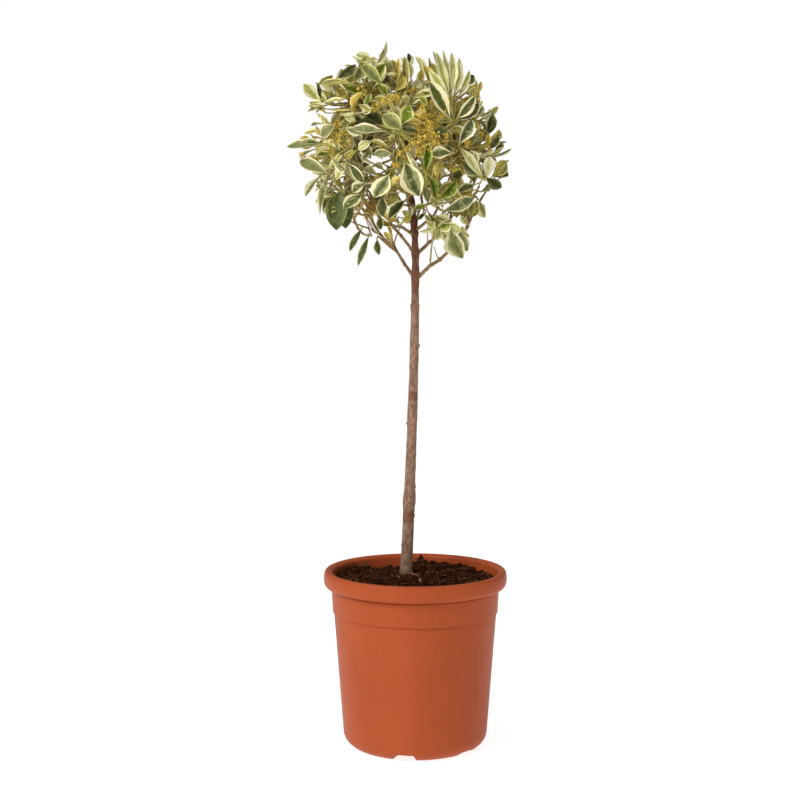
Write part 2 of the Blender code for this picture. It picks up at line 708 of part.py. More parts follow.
def stem_line(limb_points, tips):
    """Return a mass's stem: on from its limb's tip, towards the middle of its shoots."""
    tip = limb_points[-1]
    onward = (limb_points[-1] - limb_points[-2]).normalized()
    start = tip + onward * CLEARANCE
    goal = sum(tips, Vector()) / len(tips)
    end = start.lerp(goal, STEM_REACH)
    control = start + onward * (end - start).length * STEM_SET_OFF
    return curve_points(start, control, end, STEM_POINTS)


def twig_line(stem, forks, tip, heading):
    """Return a shoot's twig: from the nearest free place on the stem, ending along heading."""
    places = []
    for index in range(STEM_PLACES):
        share = blend(STEM_BARE_SHARE, 1.0, index / (STEM_PLACES - 1)) * (len(stem) - 1)
        low = min(int(share), len(stem) - 2)
        places.append(stem[low].lerp(stem[low + 1], share - low))
    free = [place for place in places if all((place - fork).length > FORK_SPACING for fork in forks)]
    start = min(free or places, key=lambda place: (place - tip).length)
    forks.append(start)
    control = tip - heading * (tip - start).length * TWIG_BEND
    return curve_points(start, control, tip, TWIG_POINTS)


def point_back(points, distance):
    """Return the point at a distance back from the end of a line, and the line's way there."""
    for index in range(len(points) - 1, 0, -1):
        step = points[index] - points[index - 1]
        if distance <= step.length:
            return points[index] - step.normalized() * distance, step.normalized()
        distance -= step.length
    return points[0].copy(), (points[1] - points[0]).normalized()


def leaf_pieces(twig, shoot, space, stream):
    """Return the blades of a shoot: pairs set crosswise, wider apart further down the twig.

    The first blade of a named shoot goes the way that the shoot names, at its full length.
    """
    _, heading, leaf_length, pairs, named = shoot
    pieces = []
    phase = stream.uniform(0.0, 180.0)
    for pair in range(pairs):
        node, along = point_back(twig, LEAF_NODE_START + LEAF_NODE_STEP * pair)
        if named and pair == 0:
            along = heading
        for side in range(2):
            spread = LEAF_DIVERGENCE[pair] + stream.uniform(-LEAF_SWAY, LEAF_SWAY)
            length = leaf_length * stream.uniform(*LEAF_SIZE_SPREAD) * (1.0 - LEAF_PAIR_SHRINK * pair)
            width = length * stream.uniform(*LEAF_WIDTH_SHARE)
            if named and pair == 0 and side == 0:
                spread = 0.0
                length = leaf_length
            angle = math.radians(spread)
            for turn, size in LEAF_TRIES:
                across, _ = frame_across(along, phase + 90.0 * pair + 180.0 * side + turn)
                way = (along * math.cos(angle) + across * math.sin(angle)).normalized()
                face = along * math.sin(angle) - across * math.cos(angle) + UP * LEAF_FACE_LIFT
                root = node - way * TWIG_TIP_RADIUS * LEAF_ROOT_SINK
                blade = leaf_blade(root, way, face, length * size, width * size)
                if space.holds(*blade) and space.clear_of_grown(blade):
                    pieces.append(blade)
                    break
    return pieces


def flower_pieces(twig, space, stream):
    """Return a flower head on its stalk beside the shoot's tip."""
    node, along = point_back(twig, FLOWER_PLACE)
    across, _ = frame_across(along, stream.uniform(0.0, 360.0))
    onward, sideways, upward = FLOWER_WAY
    way = (along * onward + across * sideways + UP * upward).normalized()
    end = node + way * FLOWER_STALK
    pieces = [sided_tube([node, end], [STALK_RADIUS, STALK_RADIUS], TWIG_SIDES), flower_head(end, way)]
    if all(space.holds(*piece) for piece in pieces):
        return pieces
    return []


def hanging_pieces(stem, space):
    """Return the leaves that hang from the stem of the long low bough."""
    pieces = []
    for share, bearing, rise, length in HANGING_LEAVES:
        place = share * (len(stem) - 1)
        low = int(place)
        root = stem[low].lerp(stem[low + 1], place - low)
        face = direction(bearing - HANGING_LEAF_TURN, 0.0)
        width = length * HANGING_LEAF_WIDTH_SHARE
        blade = leaf_blade(root, direction(bearing, rise), face, length * MM, width * MM)
        if space.holds(*blade) and space.clear_of_grown(blade):
            pieces.append(blade)
    return pieces


def mass_pieces(name, lines, shoots, tree):
    """Return the closed pieces of one mass: its stem first, then twigs, leaves and flowers."""
    limb, _ = MASSES[name]
    space = Space(name, tree)
    own = [(index, shoot) for index, shoot in enumerate(shoots) if space.has_point(shoot[0])]
    limb_points, limb_radii = lines[limb]
    stem = stem_line(limb_points, [shoot[0] for _, shoot in own])
    stem_radii = [blend(limb_radii[-1], TWIG_RADIUS, i / (STEM_POINTS - 1)) for i in range(STEM_POINTS)]
    pieces = [sided_tube(stem, stem_radii, TWIG_SIDES)]
    space.add(pieces[0])
    grown = []
    forks = []
    for index, shoot in own:
        stream = random.Random(SEED * SEED_STEP + index)
        twig = twig_line(stem, forks, shoot[0], shoot[1])
        radii = [blend(TWIG_RADIUS, TWIG_TIP_RADIUS, i / (len(twig) - 1)) for i in range(len(twig))]
        branch = sided_tube(twig, radii, TWIG_SIDES, stream.uniform(0.0, 120.0))
        if space.holds(*branch):
            space.add(branch)
            pieces.append(branch)
            grown.append((index, shoot, twig, stream))
    for index, shoot, twig, stream in grown:
        pieces.extend(leaf_pieces(twig, shoot, space, stream))
        if index % FLOWER_EVERY == FLOWER_FIRST:
            pieces.extend(flower_pieces(twig, space, stream))
    if limb == "bough_left_long":
        pieces.extend(hanging_pieces(stem, space))
    return pieces


def largest_piece(mesh):
    """Keep the connected piece with the most faces and drop loose scraps."""
    body = bmesh.new()
    body.from_mesh(mesh)
    seen = set()
    groups = []
    for start in body.faces:
        if start in seen:
            continue
        seen.add(start)
        group = [start]
        for face in group:
            for edge in face.edges:
                for other in edge.link_faces:
                    if other not in seen:
                        seen.add(other)
                        group.append(other)
        groups.append(group)
    groups.sort(key=len, reverse=True)
    scraps = [face for group in groups[1:] for face in group]
    bmesh.ops.delete(body, geom=scraps, context="FACES")
    body.to_mesh(mesh)
    body.free()


def fuse(name, pieces, collection, material):
    """Join the pieces of a mass with one union on a collection, which is then removed."""
    joining = make_collection(name + "_pieces")
    for index, (vertices, faces) in enumerate(pieces[1:]):
        add_object(f"{name}_piece_{index}", mesh_from("piece", vertices, faces), joining)
    stem = add_object(name + "_stem", mesh_from("stem", *pieces[0]), collection)
    union = stem.modifiers.new("union", "BOOLEAN")
    union.operation = "UNION"
    union.operand_type = "COLLECTION"
    union.collection = joining
    union.solver = UNION_SOLVER
    mesh = evaluated_mesh(stem)
    largest_piece(mesh)
    for thing in list(joining.objects):
        bpy.data.objects.remove(thing, do_unlink=True)
    bpy.data.collections.remove(joining)
    bpy.data.objects.remove(stem, do_unlink=True)
    return add_object(name, mesh, collection, material)


def make_masses(lines, collection):
    """Grow and fuse every mass of foliage."""
    leaf_material = make_material("leaf_variegated", (0.30, 0.36, 0.17), 0.5)
    shoots = crown_shoots()
    tree = limb_tree(lines)
    for name in MASSES:
        fuse(name, mass_pieces(name, lines, shoots, tree), collection, leaf_material)


def build():
    clear_scene()
    collection = make_collection("potted_japanese_spindle")
    cutters = make_collection("cutters")
    lines = limb_lines()
    make_pot(collection, cutters)
    make_soil(collection)
    make_limbs(lines, collection, cutters)
    make_masses(lines, collection)


build()
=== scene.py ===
import math
import random

import bpy
import numpy as np
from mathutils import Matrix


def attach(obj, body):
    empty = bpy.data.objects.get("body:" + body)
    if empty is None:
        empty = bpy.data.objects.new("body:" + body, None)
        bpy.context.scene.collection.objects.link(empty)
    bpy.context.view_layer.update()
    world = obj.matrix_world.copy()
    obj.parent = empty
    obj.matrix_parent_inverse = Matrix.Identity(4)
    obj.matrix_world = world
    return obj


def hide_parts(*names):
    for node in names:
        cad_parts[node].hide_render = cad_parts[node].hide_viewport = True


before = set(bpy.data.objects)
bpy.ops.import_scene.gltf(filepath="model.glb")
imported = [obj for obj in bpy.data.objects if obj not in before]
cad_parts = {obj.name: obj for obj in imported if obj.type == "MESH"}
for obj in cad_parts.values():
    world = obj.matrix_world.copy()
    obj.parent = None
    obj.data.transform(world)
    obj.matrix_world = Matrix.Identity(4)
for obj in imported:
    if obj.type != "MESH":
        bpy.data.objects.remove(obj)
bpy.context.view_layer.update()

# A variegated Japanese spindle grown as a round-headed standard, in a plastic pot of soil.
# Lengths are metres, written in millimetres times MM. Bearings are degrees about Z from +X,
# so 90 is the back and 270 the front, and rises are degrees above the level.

MM = 0.001
TINY = 1e-9
UP = np.array((0.0, 0.0, 1.0))
RIGHT = np.array((1.0, 0.0, 0.0))
GOLDEN_ANGLE = math.pi * (3.0 - math.sqrt(5.0))

# The view: a lens that sees the photo's frame, fitted to the outline of the pot
VIEW_PLACE = np.array((-15.77, -1579.19, 485.23)) * MM
VIEW_DIP = 4.62
VIEW_LENS = 69.62
VIEW_SENSOR = 36.0
PHOTO_SIDE = 800.0

# Pot
POT_HEIGHT = 182.4 * MM
POT_STEPS = 240
LIP_RADIUS = 94.4 * MM
LIP_SQUARENESS = 0.82
LIP_CREST_RADIUS = 90.8 * MM
LIP_INNER_RADIUS = 85.1 * MM
LIP_UNDER_RADIUS = 87.8 * MM
LIP_WIDEST_DROP = 8.8 * MM
LIP_INNER_DROP = 4.0 * MM
LIP_DEPTH = 17.7 * MM
BAND_TOP_RADIUS = 86.4 * MM
BAND_BOTTOM_RADIUS = 85.3 * MM
BAND_TOP_DROP = 18.6 * MM
BAND_BOTTOM_DROP = 43.4 * MM
BAND_EDGE = 1.1 * MM
WALL_TOP_RADIUS = 83.8 * MM
WALL_FOOT_RADIUS = 73.5 * MM
WALL_THICKNESS = 2.2 * MM
FOOT_FILLET = 15.0 * MM
FLOOR_THICKNESS = 3.0 * MM
FLOOR_RADIUS = 48.0 * MM
FLOOR_CORNER_HEIGHT = 16.0 * MM
GROOVE = 0.7 * MM
NOTCH_COUNT = 6
NOTCH_BEARING = -100.5
NOTCH_HEIGHTS = np.array((8.0, 4.5, 4.5, 8.0, 4.5, 4.5)) * MM
NOTCH_WIDTH_BOTTOM = 29.0 * MM
NOTCH_WIDTH_TOP = 21.0 * MM
NOTCH_INNER_RADIUS = 48.0 * MM
# How many rows more than the foot's arc has may be lifted by a notch, counted from the first
NOTCH_ROWS = 10

# Soil
CLEARANCE = 0.3 * MM
SOIL_EDGE_HEIGHT = 170.0 * MM
SOIL_MOUND = 5.4 * MM
SOIL_MOUND_RADIUS = 34.0 * MM
SOIL_SEAT_RADIUS = 20.0 * MM
SOIL_LUMP = 1.8 * MM
SOIL_CROSS_LUMP = 1.1 * MM
SOIL_WAVES = (9.0 * MM, 11.0 * MM, 7.0 * MM)
SOIL_RINGS = 70
SOIL_STEPS = 260
CLODS = 110
CRUMBS = 1500
CHIPS = 200
FIBRES = 150
LITTER_SEED = 23
LITTER_REACH = 80.0 * MM
LITTER_TRUNK_GAP = 11.0 * MM

# Heaps of soil that show against the pot's back wall: place, rise and spread in millimetres
SOIL_HEAPS = ((-64.0, 42.0, 6.5, 14.0), (34.0, 62.0, 4.5, 22.0), (7.0, 76.0, 9.0, 5.0),
              (-36.0, 74.0, -8.0, 18.0))
# A piece of root that lies beside the trunk: its two ends and its height over the soil
ROOT_PIECE = ((-5.0, -1.0), (6.0, -34.0), 1.5)

# Trunk
TRUNK_FOOT = np.array((-9.6, 6.0, 0.0)) * MM
TRUNK_CUT_HEIGHT = SOIL_EDGE_HEIGHT + SOIL_MOUND + CLEARANCE
TRUNK_UPRIGHT_HEIGHT = 500.0 * MM
TRUNK_TIP_HEIGHT = 645.0 * MM
TRUNK_LEAN_POWER = 1.6
TRUNK_TOP_LEAN = 10.8 * MM
TRUNK_FOOT_RADIUS = 6.1 * MM
TRUNK_TIP_RADIUS = 1.8 * MM
TRUNK_TAPER_POWER = 1.25
TRUNK_FLARE = 0.9 * MM
TRUNK_FLARE_HEIGHT = 8.0 * MM
# Swellings of the trunk: height, swelling and spread in millimetres
TRUNK_KNOTS = (
    (254.0, 1.0, 9.0), (340.0, 0.3, 8.0), (350.0, 0.3, 3.0), (420.0, 0.4, 26.0), (451.0, 0.5, 4.0),
    (484.0, 0.6, 9.0), (507.0, 0.8, 4.0), (528.0, 1.1, 4.0), (539.0, 0.8, 3.0), (553.0, 0.9, 4.0),
)
# Buds and stubs on the trunk: height and bearing, and reach and radius in millimetres
TRUNK_BUDS = (
    (411.0, 350.0, 2.0, 1.3), (331.0, 186.0, 2.0, 1.4), (265.0, 340.0, 1.6, 1.5), (235.0, 350.0, 1.6, 1.3),
    (204.0, 200.0, 1.6, 1.3), (452.0, 200.0, 1.4, 1.2), (452.0, 330.0, 1.4, 1.2), (350.0, 300.0, 1.1, 1.0),
    (395.0, 250.0, 1.1, 1.1), (300.0, 60.0, 1.6, 1.3), (430.0, 120.0, 1.6, 1.2), (372.0, 90.0, 1.4, 1.2),
)
TRUNK_POINTS = 60
TRUNK_ROWS = 420
TRUNK_SIDES = 44
# Redder bands of the bark: where each begins and ends, each with a soft edge, in metres
BARK_BANDS = ((0.3565, 0.3585, 0.3655, 0.3675), (0.2295, 0.2315, 0.2425, 0.2445))

# Boughs: parent, place on it, bearing and rise at the start, reach towards the middle of
# the mass that it carries, and radius in millimetres
BOUGHS = {
    "bough_low_right": ("trunk", 481.0, 354.0, 34.0, 0.88, 2.6),
    "bough_low_left": ("trunk", 480.0, 178.0, 62.0, 0.44, 2.5),
    "bough_left_long": ("bough_low_left", 0.76, 200.0, 44.0, 0.45, 1.5),
    "bough_left_back": ("trunk", 506.0, 172.0, 53.0, 0.78, 2.0),
    "bough_left_front": ("trunk", 526.0, 206.0, 17.0, 0.72, 1.9),
    "bough_right_back": ("trunk", 506.0, 14.0, 31.0, 0.72, 2.2),
    "bough_right_front": ("trunk", 530.0, 322.0, 34.0, 0.72, 1.9),
    "bough_low_back": ("trunk", 520.0, 84.0, 38.0, 0.62, 2.0),
    "bough_back": ("trunk", 542.0, 104.0, 24.0, 0.72, 1.9),
    "bough_low_front": ("trunk", 553.0, 290.0, 4.0, 0.50, 1.7),
    "bough_front": ("trunk", 570.0, 262.0, 14.0, 0.62, 1.7),
    "bough_top_left": ("trunk", 584.0, 182.0, 40.0, 0.66, 1.7),
    "bough_top_right": ("trunk", 594.0, 2.0, 38.0, 0.68, 1.7),
}
BOUGH_TIP_SHARE = 0.55
BOUGH_COLLAR = 0.6 * MM
BOUGH_COLLAR_REACH = 5.0 * MM
BOUGH_SET_OFF = 0.42
BOUGH_POINTS = 6
BOUGH_ROWS = 91
BOUGH_SIDES = 18
BOUGH_SLIMMED = 0.78
NODE_REACH = 1.9 * MM
# Growth starts from one in so many points of a bough's line, and keeps clear of one in so many
LIMB_STEP = 4

# Places in the photo that a bough passes: column, row, and swelling there in millimetres
BOUGH_BENDS = {
    "bough_low_left": ((405, 265, 0.1), (397, 251.6, 0.3), (393, 243.6, 1.2), (381, 231, 0.3)),
    "bough_left_long": ((382, 236.5, 0.2), (375, 232, 0.5), (366, 226, 0.1), (358, 221, 0.1)),
    "bough_left_back": ((401, 235.5, 0.1), (393, 226.6, 0.3)),
    "bough_left_front": ((402.7, 227.5, 0.2), (391, 224.8, 0.4), (380, 219, 0.2)),
    "bough_low_right": ((429.5, 266, 0.1), (440, 259.6, 0.6), (449, 250.7, 0.9), (461.6, 237.3, 0.2),
                        (467.5, 226.5, 0.7)),
    "bough_right_back": ((428.6, 242.7, 0.5), (439.3, 234.6, 0.2), (450, 220.4, 0.4)),
    "bough_right_front": ((426, 222, 0.2), (433, 216.8, 0.2)),
}

# Masses of foliage: the limb that each grows on, and the middle of its space
MASSES = {
    "foliage_low_right": ("bough_low_right", (60.0, -10.0, 558.0)),
    "foliage_low_left": ("bough_low_left", (-58.0, 36.0, 560.0)),
    "foliage_drooping_left": ("bough_left_long", (-76.0, -32.0, 544.0)),
    "foliage_left_back": ("bough_left_back", (-80.0, 38.0, 616.0)),
    "foliage_left_front": ("bough_left_front", (-80.0, -38.0, 618.0)),
    "foliage_right_back": ("bough_right_back", (52.0, 38.0, 616.0)),
    "foliage_right_front": ("bough_right_front", (52.0, -38.0, 618.0)),
    "foliage_low_back": ("bough_low_back", (4.0, 62.0, 560.0)),
    "foliage_back": ("bough_back", (-14.0, 76.0, 620.0)),
    "foliage_low_front": ("bough_low_front", (-12.0, -64.0, 560.0)),
    "foliage_front": ("bough_front", (-14.0, -76.0, 620.0)),
    "foliage_top_left": ("bough_top_left", (-64.0, 0.0, 670.0)),
    "foliage_top_right": ("bough_top_right", (34.0, 0.0, 670.0)),
    "foliage_top": ("trunk", (-14.0, 0.0, 692.0)),
}
STEM_REACH = 0.62
STEM_SET_OFF = 0.5
STEM_POINTS = 6
STEM_PLACES = 25
STEM_BARE_SHARE = 0.15
FORK_SPACING = 2.6 * MM
TWIG_BEND = 0.35

# Crown
CROWN_MIDDLE = np.array((-18.0, 0.0, 611.0)) * MM
CROWN_REACH = np.array((113.0, 108.0, 109.0)) * MM
CROWN_LIMIT = np.array((118.0, 113.0, 112.0)) * MM
CROWN_LIMIT_BELOW = 150.0 * MM
CROWN_OPEN_BELOW = -0.74
OUTER_SHOOTS = 66
INNER_SHOOTS = 22
OUTER_SHARE = (0.70, 0.80)
INNER_SHARE = (0.40, 0.60)
SHOOT_SPACING = 17.0 * MM
SHOOT_SWING = 0.15
SHOOT_WANDER = 0.4
SHOOT_LIFT = 0.35
SOURCE_LEAF_LENGTH = (35.0 * MM, 44.0 * MM)
SEED = 41
SEED_STEP = 1000

# Shoots that show plainly in the view: bearing, rise and reach of the tip from the crown's
# middle, bearing and rise of its first leaf, and leaf length
NAMED_SHOOTS = {
    "far_left": (184.0, 3.0, 86.0, 200.0, -4.0, 29.0),
    "left_low": (190.0, -17.0, 76.0, 182.0, 12.0, 31.0),
    "left_drooping": (187.0, -26.0, 84.0, 196.0, -58.0, 27.0),
    "left_hanging": (204.0, -34.0, 78.0, 232.0, -76.0, 41.0),
    "left_shoulder": (178.0, 33.0, 92.0, 180.0, 42.0, 24.0),
    "left_top": (172.0, 66.0, 100.0, 176.0, 20.0, 26.0),
    "highest": (168.0, 78.0, 93.0, 294.0, 41.0, 30.0),
    "top_middle": (0.0, 82.0, 84.0, 0.0, 72.0, 24.0),
    "pale_upright": (318.0, 49.0, 78.0, 350.0, 84.0, 39.0),
    "upright_side": (330.0, 24.0, 66.0, 200.0, 52.0, 46.0),
    "right_top": (12.0, 40.0, 98.0, 20.0, 42.0, 30.0),
    "right_upper": (2.0, 20.0, 100.0, 40.0, 72.0, 26.0),
    "far_right": (2.0, 0.0, 90.0, 356.0, 1.0, 26.0),
    "right_dark": (356.0, -12.0, 94.0, 350.0, -20.0, 26.0),
    "right_drooping": (350.0, -29.0, 92.0, 340.0, -66.0, 27.0),
    "right_pale_hanging": (321.0, -51.0, 91.0, 336.0, -63.0, 43.0),
    "centre_hanging": (276.0, -7.0, 70.0, 300.0, -62.0, 40.0),
    "centre_rosette": (268.0, 20.0, 86.0, 266.0, 34.0, 30.0),
}
PALE_SHOOTS = ("pale_upright", "right_pale_hanging", "left_shoulder", "left_top", "top_middle")

# Single leaves that show plainly in the photo: column and row of the foot and of the tip in
# photo pixels, depth of each in millimetres, width in millimetres, turn away from the viewer
# in degrees, and kind. Each grows on a fine twig of its own from the nearest stem.
NAMED_LEAVES = {
    "highest": (376, 66, 387, 41, -10, -16, 10, 50, "beige"),
    "top_left_pale": (373, 61, 356, 54, -20, -26, 11, 40, "pale"),
    "top_left_bright": (383, 85, 362, 65, -62, -70, 12, 15, "rosette"),
    "top_left_grey": (337, 79, 356, 64, -40, -48, 12, 20, "slate"),
    "shoulder_bright": (317, 85, 333, 76, -30, -40, 10, 35, "bright"),
    "shoulder_level": (353, 83, 319, 87, -58, -50, 13, 58, "under"),
    "shoulder_pale": (319, 101, 303, 84, -20, -24, 13, 15, "pale"),
    "shoulder_dark": (321, 100, 316, 82, -24, -30, 10, 50, "dark"),
    "left_olive": (327, 113, 308, 105, -40, -34, 11, 50, "under"),
    "left_small": (321, 123, 311, 126, -30, -30, 5, 45, "soft"),
    "left_grey": (335, 124, 320, 136, -66, -60, 13, 25, "soft"),
    "left_yellow": (321, 130, 304, 135, -30, -20, 10, 50, "beige"),
    "far_left": (322, 144, 286, 147, -20, -2, 13, 50, "soft"),
    "far_left_upper": (323, 144, 298, 141, -34, -36, 12, 55, "mature"),
    "left_low": (328, 173, 299, 162, -34, -26, 15, 25, "soft"),
    "left_drooping": (321, 175, 304, 196, -30, -24, 8, 38, "hanging"),
    "left_hanging": (327, 176, 321, 208, -36, -42, 9, 35, "soft"),
    "big_dark_outer": (340, 188, 334, 230, -58, -72, 23, 12, "deep"),
    "big_dark_inner": (344, 190, 343, 229, -46, -56, 19, 15, "deep"),
    "drooping_beige": (326, 186, 319, 215, -26, -30, 7, 45, "hanging"),
    "left_grey_low": (326, 109, 309, 102, -30, -26, 10, 40, "mature"),
    "top_tip_brown": (432, 84, 427, 57, -30, -26, 8, 50, "olive"),
    "top_tip_under": (436, 86, 433, 62, -34, -30, 8, 45, "under"),
    "upper_right_mid": (468, 101, 478, 87, -40, -40, 12, 35, "under"),
    "right_inner_low": (476, 184, 458, 190, -54, -62, 12, 35, "mature"),
    "middle_low_olive": (433, 166, 424, 187, -76, -80, 12, 40, "under"),
    "star_up": (436, 230, 436, 214, -62, -60, 8, 40, "young"),
    "star_left": (435, 230, 428, 221, -62, -60, 9, 40, "pale"),
    "tuft_left": (410, 220, 402, 211, -14, -18, 9, 30, "pale"),
    "tuft_up": (411, 218, 408, 206, -14, -16, 8, 35, "creamy"),
    "tuft_low": (410, 223, 402, 219, -14, -18, 7, 30, "pale"),
    "bract_left": (373, 213, 364, 202, -54, -58, 4, 50, "bract"),
    "bract_middle": (373, 217, 365, 209, -52, -56, 3, 50, "bract"),
    "bract_right": (378, 215, 371, 204, -52, -56, 4, 55, "bract"),
    "bract_gold": (388, 225, 377, 219, -46, -50, 6, 40, "olive"),
    "bract_gold_low": (390, 226, 380, 224, -46, -50, 5, 40, "bract"),
    "low_right_pair": (465, 205, 464, 218, -44, -44, 12, 20, "under"),
    "centre_dark": (384, 126, 366, 114, -60, -62, 13, 30, "deep"),
    "centre_shade": (378, 124, 361, 121, -62, -60, 11, 30, "dark"),
    "far_right_blade": (489, 156, 506, 146, -20, -10, 9, 50, "under"),
    "low_left_pale": (363, 193, 344, 210, -60, -70, 14, 20, "mature"),
    "hanging_outer": (362, 228, 349, 251, -26, -34, 7, 15, "slate"),
    "hanging_middle": (369, 235, 358, 267, -28, -38, 8, 20, "slate"),
    "hanging_inner": (377, 239, 379, 255, -24, -30, 7, 20, "slate"),
    "left_middle": (347, 162, 366, 182, -78, -88, 11, 30, "dark"),
    "left_long": (386, 131, 350, 130, -88, -84, 12, 40, "soft"),
    "middle_level": (393, 153, 374, 155, -84, -92, 11, 45, "grey"),
    "front_left": (390, 173, 375, 198, -84, -94, 19, 12, "mature"),
    "front_big": (404, 160, 420, 196, -88, -98, 22, 8, "mature"),
    "front_low_narrow": (382, 195, 383, 217, -60, -66, 12, 20, "dark"),
    "front_low_dark": (406, 199, 388, 219, -72, -82, 13, 20, "dark"),
    "front_low_green": (428, 205, 414, 210, -60, -66, 9, 45, "bright"),
    "rosette_face": (403, 131, 383, 114, -96, -100, 15, 15, "rosette"),
    "rosette_upright": (401, 126, 410, 105, -96, -100, 14, 25, "young"),
    "rosette_back": (399, 123, 394, 106, -88, -90, 12, 40, "pale"),
    "right_big": (452, 121, 427, 82, -76, -86, 16, 12, "broad"),
    "right_partner": (456, 120, 477, 96, -76, -78, 13, 25, "broad"),
    "pale_tip_left": (450, 97, 435, 53, -60, -52, 12, 25, "pale"),
    "pale_tip_middle": (452, 93, 453, 50, -60, -52, 11, 25, "silver"),
    "pale_tip_right": (455, 97, 463, 60, -58, -48, 10, 30, "pale"),
    "pale_tip_low": (449, 100, 429, 68, -66, -66, 10, 30, "pale"),
    "upper_right_dark": (464, 85, 474, 75, -20, -22, 11, 25, "dark"),
    "upper_right_small": (477, 94, 481, 81, -10, -12, 7, 35, "olive"),
    "upper_right_side": (479, 116, 495, 110, -20, -16, 11, 45, "mature"),
    "right_dark_upright": (487, 137, 493, 114, -20, -20, 12, 18, "dark"),
    "right_grey": (458, 146, 471, 119, -74, -76, 13, 25, "mature"),
    "bright_narrow": (425, 173, 427, 144, -96, -98, 10, 30, "vivid"),
    "right_level": (454, 153, 430, 154, -86, -92, 12, 35, "mature"),
    "right_long_pale": (483, 179, 461, 148, -60, -76, 13, 35, "pale"),
    "right_white": (486, 177, 490, 156, -40, -42, 13, 15, "white"),
    "right_low_dark": (485, 177, 502, 188, -34, -30, 12, 15, "deep"),
    "far_right_dark": (491, 178, 507, 161, -18, -12, 14, 20, "under"),
    "far_right_thin": (496, 163, 510, 160, -14, -8, 5, 40, "mature"),
    "far_right_tip": (489, 158, 513, 150, -10, 4, 8, 60, "mature"),
    "far_right_upper": (494, 153, 504, 142, -14, -10, 10, 45, "mature"),
    "fork_right": (437, 201, 458, 181, -80, -88, 10, 50, "vivid"),
    "fork_left": (436, 201, 429, 178, -80, -88, 11, 40, "vivid"),
    "right_low_grey": (443, 211, 475, 198, -66, -58, 15, 22, "mature"),
    "right_drooping": (479, 200, 485, 218, -26, -28, 12, 25, "creamy"),
    "pale_hanging": (450, 228, 461, 260, -60, -66, 20, 18, "hanging"),
    "pale_hanging_back": (458, 228, 468, 251, -52, -54, 15, 30, "hanging"),
    "top_upright": (403, 85, 404, 56, -30, -26, 9, 45, "beige"),
    "top_upright_pale": (411, 80, 409, 60, -40, -40, 8, 45, "beige"),
    "top_notch_leaf": (429, 78, 416, 55, -26, -22, 9, 45, "silver"),
    "top_notch_low": (430, 85, 423, 66, -40, -38, 10, 50, "olive"),
    "top_bud": (408, 66, 408, 53, -20, -20, 6, 40, "dark"),
    "top_olive_left": (396, 76, 393, 59, -30, -28, 8, 45, "olive"),
    "pale_tip_second": (451, 95, 442, 50, -52, -44, 8, 40, "silver"),
    "pale_tip_fourth": (454, 95, 460, 56, -50, -40, 8, 45, "silver"),
    "right_cluster_dark": (487, 151, 500, 134, -24, -14, 10, 35, "dark"),
    "right_cluster_olive": (484, 149, 489, 131, -34, -32, 10, 40, "olive"),
    "right_cluster_back": (492, 140, 501, 130, -4, 2, 9, 35, "under"),
    "far_right_small": (503, 176, 508, 173, -14, -12, 5, 10, "deep"),
    "far_right_low": (494, 178, 508, 166, -14, -6, 13, 25, "dark"),
    "right_inner_pale": (478, 176, 464, 163, -56, -62, 15, 25, "mature"),
    "right_inner_dark": (462, 171, 453, 178, -60, -62, 11, 20, "deep"),
    "right_curl": (475, 190, 453, 195, -52, -60, 9, 50, "olive"),
    "right_curl_low": (474, 194, 456, 199, -50, -56, 8, 50, "butter_curl"),
    "low_pale_tongue": (447, 203, 433, 208, -70, -78, 10, 45, "creamy"),
    "low_grey_back": (428, 204, 426, 186, -62, -66, 12, 25, "grey"),
    "low_green_left": (437, 229, 430, 215, -58, -60, 9, 40, "young"),
    "low_green_right": (439, 228, 445, 216, -58, -58, 8, 40, "under"),
    "low_right_olive": (461, 205, 457, 218, -46, -46, 12, 30, "under"),
    "low_right_dark": (477, 199, 472, 217, -36, -38, 12, 30, "under"),
    "pale_over_hanging": (441, 227, 458, 233, -56, -52, 12, 35, "pale"),
    "low_small_dark": (426, 212, 418, 220, -30, -30, 5, 20, "dark"),
    "low_left_drop": (381, 217, 380, 230, -50, -54, 8, 20, "dark"),
    "low_left_olive": (399, 192, 388, 203, -50, -54, 12, 25, "under"),
    "left_leaning": (357, 150, 347, 161, -72, -78, 11, 50, "under"),
    "left_lower_inner": (366, 182, 352, 192, -66, -70, 11, 40, "mature"),
    "middle_right_olive": (442, 160, 436, 176, -80, -84, 10, 45, "olive"),
    "middle_stroke": (404, 146, 419, 171, -90, -94, 8, 62, "creamy"),
    "low_gold_curl": (399, 223, 380, 215, -50, -54, 9, 45, "butter_curl"),
    "low_gold_under": (398, 212, 392, 222, -46, -48, 8, 40, "olive"),
    "low_gold_right": (401, 224, 410, 214, -44, -44, 8, 45, "olive"),
    "low_middle_green": (436, 230, 450, 220, -58, -62, 12, 30, "bright"),
    "low_middle_cream": (454, 224, 435, 217, -60, -62, 11, 35, "creamy"),
    "low_middle_dark": (446, 215, 436, 224, -52, -56, 11, 30, "under"),
    "middle_tan": (438, 181, 423, 167, -76, -78, 9, 45, "olive"),
    "middle_tan_low": (424, 186, 433, 170, -72, -76, 9, 40, "under"),
    "left_tan": (392, 243, 384, 232, -40, -44, 6, 40, "olive"),
    "centre_curl": (402, 175, 392, 186, -84, -86, 9, 55, "butter_curl"),
    "top_pale_second": (358, 68, 366, 56, -50, -52, 11, 40, "pale"),
    "top_pale_third": (372, 74, 360, 62, -58, -62, 11, 35, "young"),
    "right_pale_low": (478, 168, 470, 150, -60, -64, 13, 35, "creamy"),
    "right_pale_upper": (466, 112, 480, 104, -66, -66, 11, 40, "pale"),
    "left_pale_middle": (344, 128, 362, 134, -82, -84, 10, 45, "hanging"),
    "left_pale_low": (332, 158, 346, 170, -66, -70, 9, 45, "soft"),
